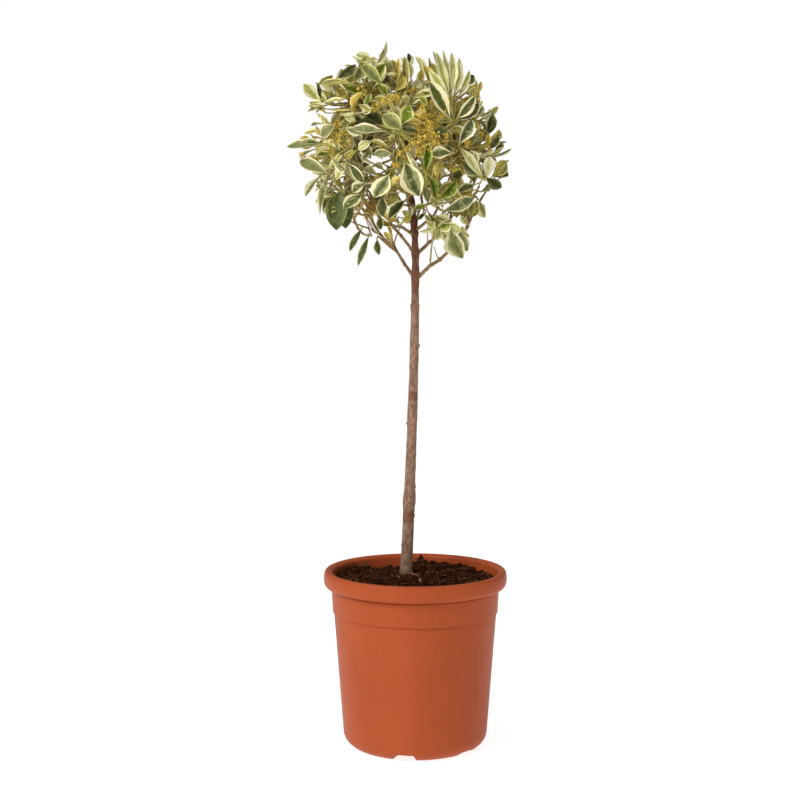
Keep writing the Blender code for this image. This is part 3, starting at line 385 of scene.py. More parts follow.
    "cluster_dark_left": (420, 131, 402, 130, -94, -94, 6, 20, "deep"),
    "cluster_dark_right": (449, 131, 433, 131, -92, -94, 8, 20, "deep"),
    "cluster_pale_tip": (410, 115, 426, 110, -94, -96, 5, 35, "butter_curl"),
    "cluster_olive": (424, 124, 409, 121, -90, -94, 7, 40, "olive"),
    "cluster_olive_low": (432, 152, 418, 156, -90, -92, 8, 40, "olive"),
    "cluster_upper": (428, 108, 420, 96, -76, -78, 7, 40, "young"),
    "fork_back": (434, 201, 429, 173, -72, -76, 10, 40, "under"),
    "pale_shelf": (440, 223, 462, 231, -58, -60, 12, 30, "silver"),
    "bough_bract": (466, 237, 461, 226, -40, -42, 7, 40, "beige"),
    "top_spike": (442, 82, 432, 51, -44, -38, 7, 35, "silver"),
    "right_partner_back": (456, 121, 479, 103, -70, -70, 13, 25, "dark"),
    "right_silver": (476, 110, 484, 101, -44, -40, 8, 40, "beige"),
    "right_silver_low": (478, 117, 494, 110, -34, -28, 7, 45, "hanging"),
    "left_shade_leaf": (352, 122, 372, 126, -70, -72, 10, 25, "deep"),
    "left_curl_upper": (358, 104, 372, 111, -68, -70, 10, 35, "beige"),
    "left_curl_lower": (342, 113, 356, 121, -62, -66, 10, 35, "silver"),
    "left_curl_left": (322, 118, 336, 128, -56, -60, 9, 40, "beige"),
    "top_left_shade": (354, 80, 362, 66, -50, -56, 12, 35, "soft"),
    "upper_olive_right": (396, 92, 404, 76, -60, -60, 9, 35, "olive"),
    "upper_olive_left": (388, 96, 378, 84, -66, -70, 10, 35, "young"),
    "middle_pale_left": (372, 140, 358, 150, -80, -84, 10, 40, "silver"),
    "left_stem_leaf": (340, 150, 332, 138, -66, -64, 8, 40, "beige"),
    "right_blade_high": (484, 147, 502, 136, -22, -12, 5, 45, "beige"),
    "right_blade_middle": (480, 150, 499, 128, -30, -22, 5, 45, "olive"),
    "right_blade_low": (478, 146, 507, 141, -26, -8, 5, 50, "soft"),
    "right_blade_inner": (476, 158, 494, 148, -44, -36, 6, 50, "silver"),
    "right_dark_side": (484, 136, 496, 122, -26, -22, 6, 50, "deep"),
    "left_pink_stroke": (366, 112, 340, 116, -70, -60, 5, 45, "beige"),
    "left_tan_stroke": (352, 110, 330, 112, -60, -50, 4, 50, "butter_curl"),
    "left_gold_stroke": (366, 134, 344, 128, -80, -76, 6, 45, "butter_curl"),
    "left_shade_deep": (352, 118, 364, 122, -60, -62, 9, 25, "deep"),
    "top_blade_left": (398, 82, 397, 58, -40, -36, 5, 45, "butter_curl"),
    "top_blade_right": (408, 88, 406, 58, -46, -40, 5, 45, "beige"),
    "top_blade_gold": (424, 84, 419, 62, -40, -36, 5, 45, "butter_curl"),
    "middle_blade": (388, 146, 370, 140, -86, -84, 6, 45, "beige"),
    "low_blade_left": (382, 190, 362, 184, -76, -78, 7, 40, "soft"),
    "low_blade_right": (462, 196, 447, 188, -66, -70, 6, 45, "beige"),
    "left_edge_low": (312, 150, 299, 157, -24, -20, 6, 45, "hanging"),
    "left_edge_high": (322, 106, 306, 111, -40, -34, 7, 40, "soft"),
    "fork_fill": (438, 186, 427, 176, -64, -66, 9, 40, "mature"),
    "shelf_left": (452, 230, 437, 222, -56, -58, 10, 35, "pale"),
    "shelf_right": (455, 228, 470, 236, -50, -46, 9, 40, "beige"),
    "low_middle_shade": (428, 212, 436, 220, -40, -40, 8, 40, "under"),
    "left_inner_fill": (378, 176, 364, 168, -72, -74, 9, 40, "soft"),
    "left_inner_pale": (362, 172, 352, 164, -70, -72, 8, 40, "soft"),
    "low_clutter_left": (392, 237, 387, 224, -30, -34, 6, 40, "olive"),
    "low_clutter_middle": (399, 212, 391, 200, -44, -46, 8, 35, "soft"),
    "pale_tip_fifth": (458, 98, 469, 70, -54, -46, 9, 30, "pale"),
    "shoulder_low_level": (346, 98, 322, 103, -56, -48, 8, 50, "beige"),
    "low_middle_gap": (424, 214, 432, 222, -40, -42, 7, 40, "soft"),
    "low_right_gap": (460, 213, 468, 226, -44, -42, 8, 40, "beige"),
    "middle_left_gap": (384, 170, 374, 164, -74, -74, 8, 40, "soft"),
    "right_gap_leaf": (481, 192, 489, 184, -22, -18, 8, 40, "soft"),
    "right_gap_olive": (486, 170, 497, 164, -26, -22, 7, 45, "beige"),
    "left_gap_leaf": (326, 192, 316, 184, -40, -38, 7, 40, "soft"),
    "left_gap_upper": (318, 114, 328, 121, -44, -48, 7, 40, "beige"),
    "fork_gap": (430, 190, 433, 170, -60, -62, 9, 35, "soft"),
}
# How much a named leaf's shape wanders beside a grown one's, and how far behind it others keep
NAMED_LEAF_STEADY = 0.35
NAMED_LEAF_DEPTH = 15.0 * MM
# Lengths across the view count for more when a named leaf looks for its stem, so most twigs
# come from behind their leaf
ACROSS_VIEW = np.array((1.8, 1.0, 1.8))

# Flower heads that show plainly in the photo: column, row, depth in millimetres, and size
NAMED_FLOWERS = (
    (426, 123, -82, 1.7), (422, 135, -90, 1.7), (437, 112, -66, 1.4), (427, 147, -90, 1.4),
    (434, 136, -88, 1.5), (440, 123, -70, 1.4), (410, 140, -90, 1.4), (421, 121, -86, 1.5),
    (428, 129, -92, 1.5), (433, 104, -64, 1.1), (414, 130, -88, 1.2), (436, 146, -80, 1.2),
    (424, 112, -76, 1.2), (418, 144, -86, 1.2), (444, 116, -74, 1.0), (444, 136, -80, 1.0),
    (419, 150, -90, 1.0), (404, 151, -88, 1.0), (346, 140, -70, 1.0), (334, 137, -62, 1.0),
    (341, 94, -50, 0.9), (302, 157, -24, 0.8), (384, 146, -76, 0.8), (389, 101, -80, 1.1),
    (397, 98, -76, 1.0), (396, 165, -86, 0.8), (376, 108, -70, 0.9), (480, 134, -30, 0.9),
    (362, 92, -60, 0.9), (412, 90, -50, 0.9), (404, 74, -30, 0.8), (337, 124, -60, 0.8),
    (422, 104, -60, 1.0), (468, 112, -50, 0.8), (488, 146, -30, 0.8), (452, 168, -70, 0.7),
    (466, 142, -60, 0.8), (332, 152, -50, 0.7),
)

# Fine twigs that show plainly: column and row where each leaves its limb and where it ends,
# depth of that end and radius, both in millimetres, and look
NAMED_TWIGS = (
    (393, 243, 388, 210, -34, 0.8, "brown"), (393, 243, 408, 212, -14, 0.8, "brown"),
    (375, 232, 362, 208, -44, 0.9, "brown"), (397, 252, 378, 236, -22, 1.0, "brown"),
    (365, 226, 348, 220, -40, 0.9, "olive"), (360, 222, 364, 212, -44, 0.6, "olive"),
    (429, 265, 435, 229, -56, 0.9, "olive"), (438, 259, 434, 247, -40, 0.7, "olive"),
    (426, 241, 428, 224, -24, 0.6, "olive"), (466, 226, 461, 204, -36, 0.9, "olive"),
    (434, 240, 447, 238, -40, 0.5, "olive"), (467, 227, 489, 187, -12, 1.5, "brown"),
    (445, 226, 456, 212, -20, 1.1, "brown"), (410, 220, 398, 217, -14, 0.8, "brown"),
    (468, 214, 484, 176, -34, 0.9, "green"), (404, 178, 399, 132, -92, 1.1, "green"),
    (452, 172, 453, 122, -72, 1.1, "green"), (404, 200, 383, 205, -50, 0.9, "brown"),
    (413, 214, 432, 203, -60, 0.9, "brown"), (413, 190, 436, 184, -50, 0.8, "brown"),
)

# Where the photo shows sky through the crown, and close round it: column, row and radius in
# photo pixels
SKY_GAPS = (
    (417, 66, 5), (414, 74, 3), (462, 93, 4), (329, 110, 5), (343, 104, 4), (472, 131, 4),
    (377, 161, 4), (388, 162, 4), (375, 168, 3), (374, 176, 2), (431, 161, 2), (448, 165, 3),
    (445, 179, 4), (466, 182, 3), (478, 185, 5), (335, 186, 4), (367, 197, 2),
    (402, 198, 2), (388, 204, 3), (420, 201, 3), (431, 211, 3), (451, 214, 3), (357, 217, 5),
    (353, 224, 4), (462, 220, 5), (453, 221, 3), (396, 225, 3), (422, 225, 4), (385, 228, 3),
    (404, 230, 3), (443, 247, 5), (426, 252, 7), (392, 250, 8),
)
SKY_ROUND = (
    (297, 119, 8), (300, 153, 3), (313, 152, 3), (366, 45, 7), (397, 45, 8), (345, 56, 6),
    (335, 241, 13), (352, 264, 10), (385, 264, 10), (481, 236, 12), (507, 200, 8), (440, 266, 9),
    (300, 212, 10), (512, 138, 8), (505, 118, 7), (488, 90, 8), (425, 50, 7), (470, 60, 6),
    (377, 46, 6), (312, 70, 6), (294, 130, 6), (404, 46, 5), (492, 200, 5), (510, 104, 8),
    (307, 117, 7), (303, 128, 5), (305, 78, 5), (308, 181, 6), (333, 67, 6), (360, 50, 7), (467, 64, 6),
    (372, 50, 5), (489, 104, 5), (311, 192, 5), (323, 125, 3), (368, 53, 4), (394, 51, 6), (380, 49, 4),
    (401, 51, 5), (392, 44, 6), (503, 128, 5), (311, 177, 4),
)

# Twigs
TWIG_ROWS = 12
TWIG_SIDES = 6
NODE_SWELLING = 1.22
TWIG_LOOKS = ("brown", "olive", "green")
TWIG_RADIUS = 1.35 * MM
TWIG_TIP_RADIUS = 0.8 * MM
SIDE_TWIG_RADIUS = 0.85 * MM
SIDE_TWIG_TIP_RADIUS = 0.55 * MM
SIDE_TWIG_LENGTH = (14.0 * MM, 26.0 * MM)
SIDE_TWIG_PLACES = (0.42, 0.68)

# Leaves
NODE_START = 1.0 * MM
NODE_STEP = 7.0 * MM
LEAF_LENGTH = (27.0 * MM, 39.0 * MM)
LEAF_WIDTH_SHARE = (0.36, 0.50)
LEAF_DIVERGENCE = (18.0, 36.0, 54.0, 68.0, 78.0)
LEAF_GROWN = (0.62, 0.86, 1.0, 1.0, 0.92)
LEAF_MIDDLE = 0.55
LEAF_SIZES = (1.0, 0.85, 0.7)
LEAF_THICKNESS = 0.45 * MM
PETIOLE_END = 0.09
PETIOLE_HALF_WIDTH = 0.55 * MM
LEAF_SEED = 7
LEAF_BANDS = 7
FINE_LEAF_BANDS = 14
TOP_LINES = 7
VEIN_SLANT = 0.13
LEAF_SPACING = 6.5 * MM
LIMB_MARGIN = 1.0 * MM
LOW_CROWN = 588.0 * MM

# Flower heads
FLOWER_LOW = 598.0 * MM
FLOWER_CHANCE = 0.25
FLOWER_STALK = (9.0 * MM, 14.0 * MM)
FLOWER_ARMS = 6
BUDS_ON_ARM = 6
BUD_RADIUS = (0.5 * MM, 1.1 * MM)
OPEN_FLOWERS = 0.5


def blend(low, high, share):
    """The value a share of the way from low to high."""
    return low + (high - low) * share


def unit(vectors):
    """Each vector divided by its length."""
    return vectors / np.maximum(np.linalg.norm(vectors, axis=-1, keepdims=True), TINY)


def direction(bearing, rise):
    """The unit vector (cos r cos b, cos r sin b, sin r) of a bearing b and a rise r in degrees."""
    b = math.radians(bearing)
    r = math.radians(rise)
    return np.array((math.cos(r) * math.cos(b), math.cos(r) * math.sin(b), math.sin(r)))


def curve(start, control, end, count):
    """count points of the curve (1-t)² start + 2t(1-t) control + t² end."""
    t = np.linspace(0.0, 1.0, count)[:, None]
    return start * (1 - t) ** 2 + control * 2 * t * (1 - t) + end * t ** 2


def between(place, places, points):
    """The point or points at a place, on straight runs through points that lie at these places."""
    return np.stack([np.interp(place, places, points[:, axis]) for axis in range(3)], axis=-1)


def hashed(cells, seed):
    """A number from 0 to 1 for each whole-number cell, always the same for the same cell."""
    mixed = cells @ np.array((12.9898, 78.233, 37.719)) + seed * 4.137
    return np.modf(np.abs(np.sin(mixed)) * 43758.5453)[0]


def noise(points, size, seed=0):
    """Smooth noise from -1 to 1: the corners' numbers of each cell of this size, eased between."""
    scaled = points / size
    base = np.floor(scaled)
    part = scaled - base
    ease = part * part * (3.0 - 2.0 * part)
    total = np.zeros(points.shape[:-1])
    for corner in np.ndindex(2, 2, 2):
        offset = np.array(corner, float)
        weight = np.prod(np.where(offset > 0, ease, 1.0 - ease), axis=-1)
        total += weight * hashed(base + offset, seed)
    return 2.0 * total - 1.0


# Growth, by the rule of the solids

def trunk_points(heights):
    """The trunk's centre line: a lean that dies away upwards, then an eased bend to the left."""
    share = (heights - TRUNK_CUT_HEIGHT) / (TRUNK_UPRIGHT_HEIGHT - TRUNK_CUT_HEIGHT)
    lean = TRUNK_FOOT * (np.clip(1.0 - share, 0.0, 1.0) ** TRUNK_LEAN_POWER)[..., None]
    past = (heights - TRUNK_UPRIGHT_HEIGHT) / (TRUNK_TIP_HEIGHT - TRUNK_UPRIGHT_HEIGHT)
    past = np.clip(past, 0.0, 1.0)
    points = lean + UP * heights[..., None]
    points[..., 0] -= TRUNK_TOP_LEAN * past * past * (3.0 - 2.0 * past)
    return points


def trunk_radii(heights):
    """The trunk's radius: a taper, a flare at the foot and a swelling at each knot."""
    share = np.clip((heights - TRUNK_CUT_HEIGHT) / (TRUNK_TIP_HEIGHT - TRUNK_CUT_HEIGHT), 0.0, 1.0)
    radii = blend(TRUNK_FOOT_RADIUS, TRUNK_TIP_RADIUS, share ** TRUNK_TAPER_POWER)
    radii = radii + TRUNK_FLARE * np.exp(-(heights - TRUNK_CUT_HEIGHT) / TRUNK_FLARE_HEIGHT)
    for knot_height, swelling, spread in TRUNK_KNOTS:
        radii = radii + swelling * MM * np.exp(-((heights / MM - knot_height) / spread) ** 2)
    return radii


def bough_guide(name, lines):
    """A bough's start, control point and end."""
    parent, place, bearing, rise, reach, _ = BOUGHS[name]
    if parent == "trunk":
        start = trunk_points(np.array(place * MM))
    else:
        points = lines[parent]
        middle = blend(points[0], points[-1], place)
        start = points[np.argmin(np.linalg.norm(points - middle, axis=1))]
    goal = next(np.array(row[1]) * MM for row in MASSES.values() if row[0] == name)
    end = blend(start, goal, reach)
    control = start + direction(bearing, rise) * np.linalg.norm(end - start) * BOUGH_SET_OFF
    return start, control, end


def bough_line(name, guide):
    """A bough's line: its curve, moved across the view to pass the places that the photo shows."""
    line = curve(*guide, BOUGH_ROWS)
    bends = BOUGH_BENDS.get(name, ())
    columns, rows = photo_places(line)
    shares = [0.0]
    moves = [np.zeros(3)]
    for column, row, _ in bends:
        index = np.argmin(np.hypot(columns - column, rows - row))
        shares.append(index / (BOUGH_ROWS - 1))
        moves.append(place_at(column, row, line[index, 1]) - line[index])
    shares.append(1.0)
    moves.append(np.zeros(3))
    return line + between(np.linspace(0.0, 1.0, BOUGH_ROWS), shares, np.array(moves))


def bough_radii(name, points):
    """A bough's radii: an even taper, a collar at its parent, and a swelling at each node."""
    radius = BOUGHS[name][-1] * MM * BOUGH_SLIMMED
    share = np.linspace(0.0, 1.0, len(points))
    collar = BOUGH_COLLAR * np.exp(-np.linalg.norm(points - points[0], axis=1) / BOUGH_COLLAR_REACH)
    radii = radius * blend(1.0, BOUGH_TIP_SHARE, share) + collar
    for column, row, swelling in BOUGH_BENDS.get(name, ()):
        columns, rows = photo_places(points)
        node = points[np.argmin(np.hypot(columns - column, rows - row))]
        radii += swelling * MM * np.exp(-(np.linalg.norm(points - node, axis=1) / NODE_REACH) ** 2)
    return radii


def crown_shoots():
    """The named shoots, then those of the even spread that keep clear of them: tip and heading."""
    stream = random.Random(SEED)
    shoots = []
    for name, (bearing, rise, reach, leaf_bearing, leaf_rise, leaf) in NAMED_SHOOTS.items():
        tip = CROWN_MIDDLE + direction(bearing, rise) * reach * MM
        shoots.append((tip, direction(leaf_bearing, leaf_rise), leaf * MM, name))
    spread = []
    for count, share_range in ((OUTER_SHOOTS, OUTER_SHARE), (INNER_SHOOTS, INNER_SHARE)):
        for index in range(count):
            rise = 1.0 - 2.0 * (index + 0.5) / count
            if rise < CROWN_OPEN_BELOW:
                continue
            level = math.sqrt(1.0 - rise * rise)
            angle = index * GOLDEN_ANGLE + stream.uniform(-SHOOT_SWING, SHOOT_SWING)
            way = np.array((level * math.cos(angle), level * math.sin(angle), rise))
            reach = 1.0 / np.linalg.norm(way / CROWN_REACH)
            tip = CROWN_MIDDLE + way * reach * stream.uniform(*share_range)
            wander = np.array([stream.uniform(-SHOOT_WANDER, SHOOT_WANDER) for _ in range(3)])
            heading = unit(way + UP * SHOOT_LIFT + wander)
            # The solids draw a leaf's length here, so it is drawn to keep the later draws alike
            stream.uniform(*SOURCE_LEAF_LENGTH)
            spread.append((tip, heading, None, None))
    for shoot in spread:
        if all(np.linalg.norm(shoot[0] - other[0]) > SHOOT_SPACING for other in shoots):
            shoots.append(shoot)
    return shoots


def nearest_mass(point):
    """The name of the mass whose middle is nearest to a point."""
    return min(MASSES, key=lambda name: np.linalg.norm(point - np.array(MASSES[name][1]) * MM))


def stem_points(limb, tips):
    """A mass's stem: on from its limb's tip, towards the middle of its shoots."""
    onward = unit(limb[-1] - limb[-2])
    start = limb[-1]
    end = blend(start, np.mean(tips, axis=0), STEM_REACH)
    control = start + onward * np.linalg.norm(end - start) * STEM_SET_OFF
    return curve(start, control, end, STEM_POINTS)


def twig_points(stem, forks, tip, heading):
    """A shoot's twig: from the nearest free place on the stem, ending along its heading."""
    shares = blend(STEM_BARE_SHARE, 1.0, np.linspace(0.0, 1.0, STEM_PLACES)) * (STEM_POINTS - 1)
    low = np.minimum(shares.astype(int), STEM_POINTS - 2)
    places = blend(stem[low], stem[low + 1], (shares - low)[:, None])
    free = [p for p in places if all(np.linalg.norm(p - f) > FORK_SPACING for f in forks)]
    start = min(free or list(places), key=lambda place: np.linalg.norm(place - tip))
    forks.append(start)
    control = tip - heading * np.linalg.norm(tip - start) * TWIG_BEND
    return curve(start, control, tip, TWIG_ROWS)


def photo_places(points):
    """Where points fall in the photo, as columns and rows of its 800 pixels."""
    dip = math.radians(VIEW_DIP)
    away = points - VIEW_PLACE
    depth = away[:, 1] * math.cos(dip) - away[:, 2] * math.sin(dip)
    height = away[:, 1] * math.sin(dip) + away[:, 2] * math.cos(dip)
    scale = PHOTO_SIDE * VIEW_LENS / VIEW_SENSOR / depth
    return PHOTO_SIDE / 2 + away[:, 0] * scale, PHOTO_SIDE / 2 - height * scale


def place_at(column, row, depth):
    """The point at a depth along Y that the photo shows at a column and row."""
    dip = math.radians(VIEW_DIP)
    scale = PHOTO_SIDE * VIEW_LENS / VIEW_SENSOR
    ahead = np.array((0.0, math.cos(dip), -math.sin(dip)))
    above = np.array((0.0, math.sin(dip), math.cos(dip)))
    ray = ahead + RIGHT * (column - PHOTO_SIDE / 2) / scale + above * (PHOTO_SIDE / 2 - row) / scale
    return VIEW_PLACE + ray * (depth - VIEW_PLACE[1]) / ray[1]


def square_to(along, turn):
    """A unit vector square to a direction, turned about it by an angle in degrees."""
    helper = UP if abs(along[2]) < 0.9 else RIGHT
    first = unit(np.cross(along, helper))
    second = np.cross(along, first)
    angle = math.radians(turn)
    return first * math.cos(angle) + second * math.sin(angle)


class Growth:
    """Everything that grows on the limbs, kept as rows of numbers until it becomes meshes."""

    def __init__(self, limb_places, limb_widths):
        self.limb_places = limb_places
        self.limb_widths = limb_widths
        self.twigs = []
        self.leaves = []
        self.buds = []
        self.stalks = []
        self.middles = np.empty((0, 3))
        self.shown = np.empty((0, 4))

    def room(self, samples):
        """Whether sample points keep inside the crown, off the limbs and the photo's sky gaps,
        and out of the way of the named leaves as the photo shows them."""
        away = samples - CROWN_MIDDLE
        limit = np.tile(CROWN_LIMIT, (len(samples), 1))
        limit[away[:, 2] < 0, 2] = CROWN_LIMIT_BELOW
        if (((away / limit) ** 2).sum(axis=1) > 1.0).any():
            return False
        gaps = np.linalg.norm(samples[:, None] - self.limb_places[None], axis=2) - self.limb_widths
        if gaps.min() < LIMB_MARGIN:
            return False
        columns, rows = photo_places(samples)
        for column, row, radius in SKY_GAPS + SKY_ROUND:
            if (np.hypot(columns - column, rows - row) < radius).any():
                return False
        off = np.hypot(columns[:, None] - self.shown[:, 0], rows[:, None] - self.shown[:, 1])
        before = samples[:, None, 1] < self.shown[:, 3] + NAMED_LEAF_DEPTH
        return not ((off < self.shown[:, 2]) & before).any()

    def add_named_leaf(self, row, stems):
        """Set a leaf where the photo shows it, on a fine twig from the nearest stem's place."""
        foot_column, foot_row, tip_column, tip_row, foot_depth, tip_depth, width, turn, kind = row
        foot = place_at(foot_column, foot_row, foot_depth * MM)
        tip = place_at(tip_column, tip_row, tip_depth * MM)
        way = unit(tip - foot)
        length = np.linalg.norm(tip - foot)
        viewer = unit(VIEW_PLACE - foot)
        toward = unit(viewer - way * viewer.dot(way))
        angle = math.radians(turn)
        face = toward * math.cos(angle) + np.cross(way, toward) * math.sin(angle)
        draw = random.Random(foot_column * 1000 + foot_row).random()
        self.leaves.append((foot, way, face, length, width * MM, kind, draw, NAMED_LEAF_STEADY))
        self.middles = np.vstack((self.middles, foot + way * length * LEAF_MIDDLE))
        reach = max(width * math.cos(angle) * 0.5, 2.5)
        for share in (0.15, 0.4, 0.65, 0.9):
            place = (foot + way * length * share)[None]
            column, line = photo_places(place)
            self.shown = np.vstack((self.shown, (column[0], line[0], reach, place[0, 1])))
        start = min(stems, key=lambda place: np.linalg.norm((place - foot) * ACROSS_VIEW)
                    + 0.25 * np.linalg.norm(place - CROWN_MIDDLE))
        behind = foot - way * np.linalg.norm(foot - start) * 0.35
        control = blend(behind, blend(start, foot, 0.5), 0.45)
        line = curve(start, control, foot, TWIG_ROWS)
        look = "green" if draw < 0.5 else "olive"
        self.twigs.append((line, SIDE_TWIG_RADIUS, SIDE_TWIG_TIP_RADIUS, look))

    def add_named_twig(self, row):
        """Set a fine twig from the limb that the photo shows it on."""
        column, line, end_column, end_line, depth, radius, look = row
        columns, rows = photo_places(self.limb_places)
        start = self.limb_places[np.argmin(np.hypot(columns - column, rows - line))]
        end = place_at(end_column, end_line, depth * MM)
        control = blend(start, end, 0.5) + np.cross(end - start, np.array((0.0, 0.06, 0.0)))
        self.twigs.append((curve(start, control, end, TWIG_ROWS), radius * MM, radius * 0.6 * MM, look))

    def add_leaf(self, root, way, face, length, width, kind, stream):
        """Keep a leaf where there is room for it, shorter if need be."""
        side = unit(np.cross(way, face))
        for size in LEAF_SIZES:
            reach = way * length * size
            half = side * width * size * 0.42
            middle = root + reach * LEAF_MIDDLE
            rib = root + reach * np.array((0.25, 0.45, 0.65, 0.85, 1.0))[:, None]
            samples = np.vstack((rib, rib[1:4] + half, rib[1:4] - half))
            crowded = np.linalg.norm(self.middles - middle, axis=1).min() < LEAF_SPACING
            if self.room(samples) and not crowded:
                self.middles = np.vstack((self.middles, middle))
                draw = stream.random()
                self.leaves.append((root, way, face, length * size, width * size, kind, draw, 1.0))
                return

    def add_pairs(self, line, pairs, full_length, kind, stream):
        """Leaves on a twig: pairs set crosswise, wider apart and older further down."""
        phase = stream.uniform(0.0, 180.0)
        reach = np.linalg.norm(np.diff(line, axis=0), axis=1)
        from_tip = np.concatenate(([0.0], np.cumsum(reach[::-1])))[::-1]
        for pair in range(pairs):
            distance = NODE_START + NODE_STEP * pair
            if distance > from_tip[0] * 0.9:
                break
            node = between(distance, from_tip[::-1], line[::-1])
            ahead = between(distance - 2.0 * MM, from_tip[::-1], line[::-1])
            along = unit(ahead - node) if pair else unit(line[-1] - line[-2])
            for side in range(2):
                angle = math.radians(LEAF_DIVERGENCE[pair] + stream.uniform(-11.0, 11.0))
                length = full_length * LEAF_GROWN[pair] * stream.uniform(0.86, 1.06)
                width = length * stream.uniform(*LEAF_WIDTH_SHARE)
                leaf_kind = kind if pair or kind != "mature" else "young"
                across = square_to(along, phase + 90.0 * pair + 180.0 * side + stream.uniform(-14.0, 14.0))
                way = unit(along * math.cos(angle) + across * math.sin(angle) - UP * 0.05 * pair)
                face = along * math.sin(angle) - across * math.cos(angle) + UP * 0.3
                roll = math.radians(stream.uniform(-48.0, 48.0))
                face = face * math.cos(roll) + np.cross(way, face) * math.sin(roll)
                self.add_leaf(node, way, face, length, width, leaf_kind, stream)

    def add_flower_head(self, node, fork, size, stream):
        """A flower head: a stalk that forks into arms, each with buds on short stalks."""
        way = unit(fork - node)
        self.stalks.append((node, fork, 0.45 * MM))
        turn = stream.uniform(0.0, 360.0)
        for arm in range(FLOWER_ARMS):
            out = unit(way * 0.7 + square_to(way, turn + 360.0 * arm / FLOWER_ARMS))
            end = fork + out * stream.uniform(3.0, 6.5) * size * MM
            self.stalks.append((fork, end, 0.34 * MM))
            for bud in range(BUDS_ON_ARM):
                around = turn + 360.0 * bud / (BUDS_ON_ARM - 1)
                tip_way = unit(out + square_to(out, around) * (0.95 if bud else 0.0))
                tip = end + tip_way * stream.uniform(1.6, 3.6) * size * MM
                self.stalks.append((end, tip, 0.27 * MM))
                self.buds.append((tip, tip_way, stream.uniform(*BUD_RADIUS) * size ** 0.5, stream.random()))

    def add_side_flower(self, node, along, stream):
        """A flower head beside a twig's tip, where there is room for it."""
        way = unit(along * 0.8 + square_to(along, stream.uniform(0.0, 360.0)) * 0.7 + UP * 0.3)
        fork = node + way * stream.uniform(*FLOWER_STALK)
        if self.room(np.array((fork, fork + way * 5.0 * MM))):
            self.add_flower_head(node, fork, stream.uniform(0.8, 1.1), stream)

    def add_named_flower(self, column, row, depth, size, stems):
        """A flower head where the photo shows one, on a stalk from the nearest stem's place."""
        head = place_at(column, row, depth * MM)
        start = min(stems, key=lambda place: np.linalg.norm(place - head))
        fork = blend(start, head, 0.92)
        node = blend(start, head, 0.6)
        line = curve(start, blend(start, head, 0.3), node, TWIG_ROWS)
        self.twigs.append((line, TWIG_TIP_RADIUS, 0.5 * MM, "green"))
        self.add_flower_head(node, fork, size, random.Random(column * 1000 + row))
        reach = 3.5 * size
        self.shown = np.vstack((self.shown, (column, row, reach, head[1])))


def grow():
    """Grow every mass: its stem, its shoots' twigs, their side twigs, leaves and flower heads."""
    lines = {"trunk": trunk_points(np.linspace(TRUNK_CUT_HEIGHT, TRUNK_TIP_HEIGHT, TRUNK_POINTS))}
    boughs = {}
    for name in BOUGHS:
        boughs[name] = bough_line(name, bough_guide(name, lines))
        lines[name] = boughs[name][::(BOUGH_ROWS - 1) // (BOUGH_POINTS - 1)]
    places = np.vstack([lines["trunk"]] + [line[::LIMB_STEP] for line in boughs.values()])
    widths = [trunk_radii(lines["trunk"][:, 2])]
    widths += [bough_radii(name, line)[::LIMB_STEP] for name, line in boughs.items()]
    growth = Growth(places, np.concatenate(widths))
    shoots = crown_shoots()
    owned = {}
    stems = {}
    for mass, (limb, _) in MASSES.items():
        owned[mass] = [row for row in enumerate(shoots) if nearest_mass(row[1][0]) == mass]
        stems[mass] = stem_points(lines[limb], [shoot[0] for _, shoot in owned[mass]])
        growth.twigs.append((stem_fine(stems[mass]), stem_radius(limb), TWIG_RADIUS, "olive"))
    places = [place for stem in stems.values() for place in stem_fine(stem)[1:]]
    places += [place for line in boughs.values() for place in line[BOUGH_ROWS // 2::LIMB_STEP]]
    for row in NAMED_TWIGS:
        growth.add_named_twig(row)
        places += list(growth.twigs[-1][0][TWIG_ROWS // 3:])
    for row in NAMED_LEAVES.values():
        growth.add_named_leaf(row, places)
    for column, row, depth, size in NAMED_FLOWERS:
        growth.add_named_flower(column, row, depth, size, places)
    for mass in MASSES:
        forks = []
        for index, (tip, heading, leaf, name) in owned[mass]:
            stream = random.Random(SEED * SEED_STEP + index)
            line = twig_points(stems[mass], forks, tip, heading)
            growth.twigs.append((line, TWIG_RADIUS, TWIG_TIP_RADIUS, "olive"))
            kind = shoot_kind(name, tip, stream)
            full = leaf if leaf else stream.uniform(*LEAF_LENGTH)
            low = tip[2] < LOW_CROWN
            growth.add_pairs(line, 3 if low else 4, full, kind, stream)
            for place in SIDE_TWIG_PLACES[:1 if low else 2]:
                add_side_twig(growth, line, place, full, kind, stream)
            if tip[2] > FLOWER_LOW and stream.random() < FLOWER_CHANCE:
                growth.add_side_flower(line[-2], heading, stream)
    return growth, boughs


def stem_radius(limb):
    """The radius of a stem at its foot, which is that of its limb's tip."""
    if limb == "trunk":
        return TRUNK_TIP_RADIUS
    return BOUGHS[limb][-1] * MM * BOUGH_TIP_SHARE


def stem_fine(stem):
    """The stem's points, eased to as many rows as a twig has."""
    share = np.linspace(0.0, len(stem) - 1.0, TWIG_ROWS)
    return between(share, np.arange(len(stem)), stem)


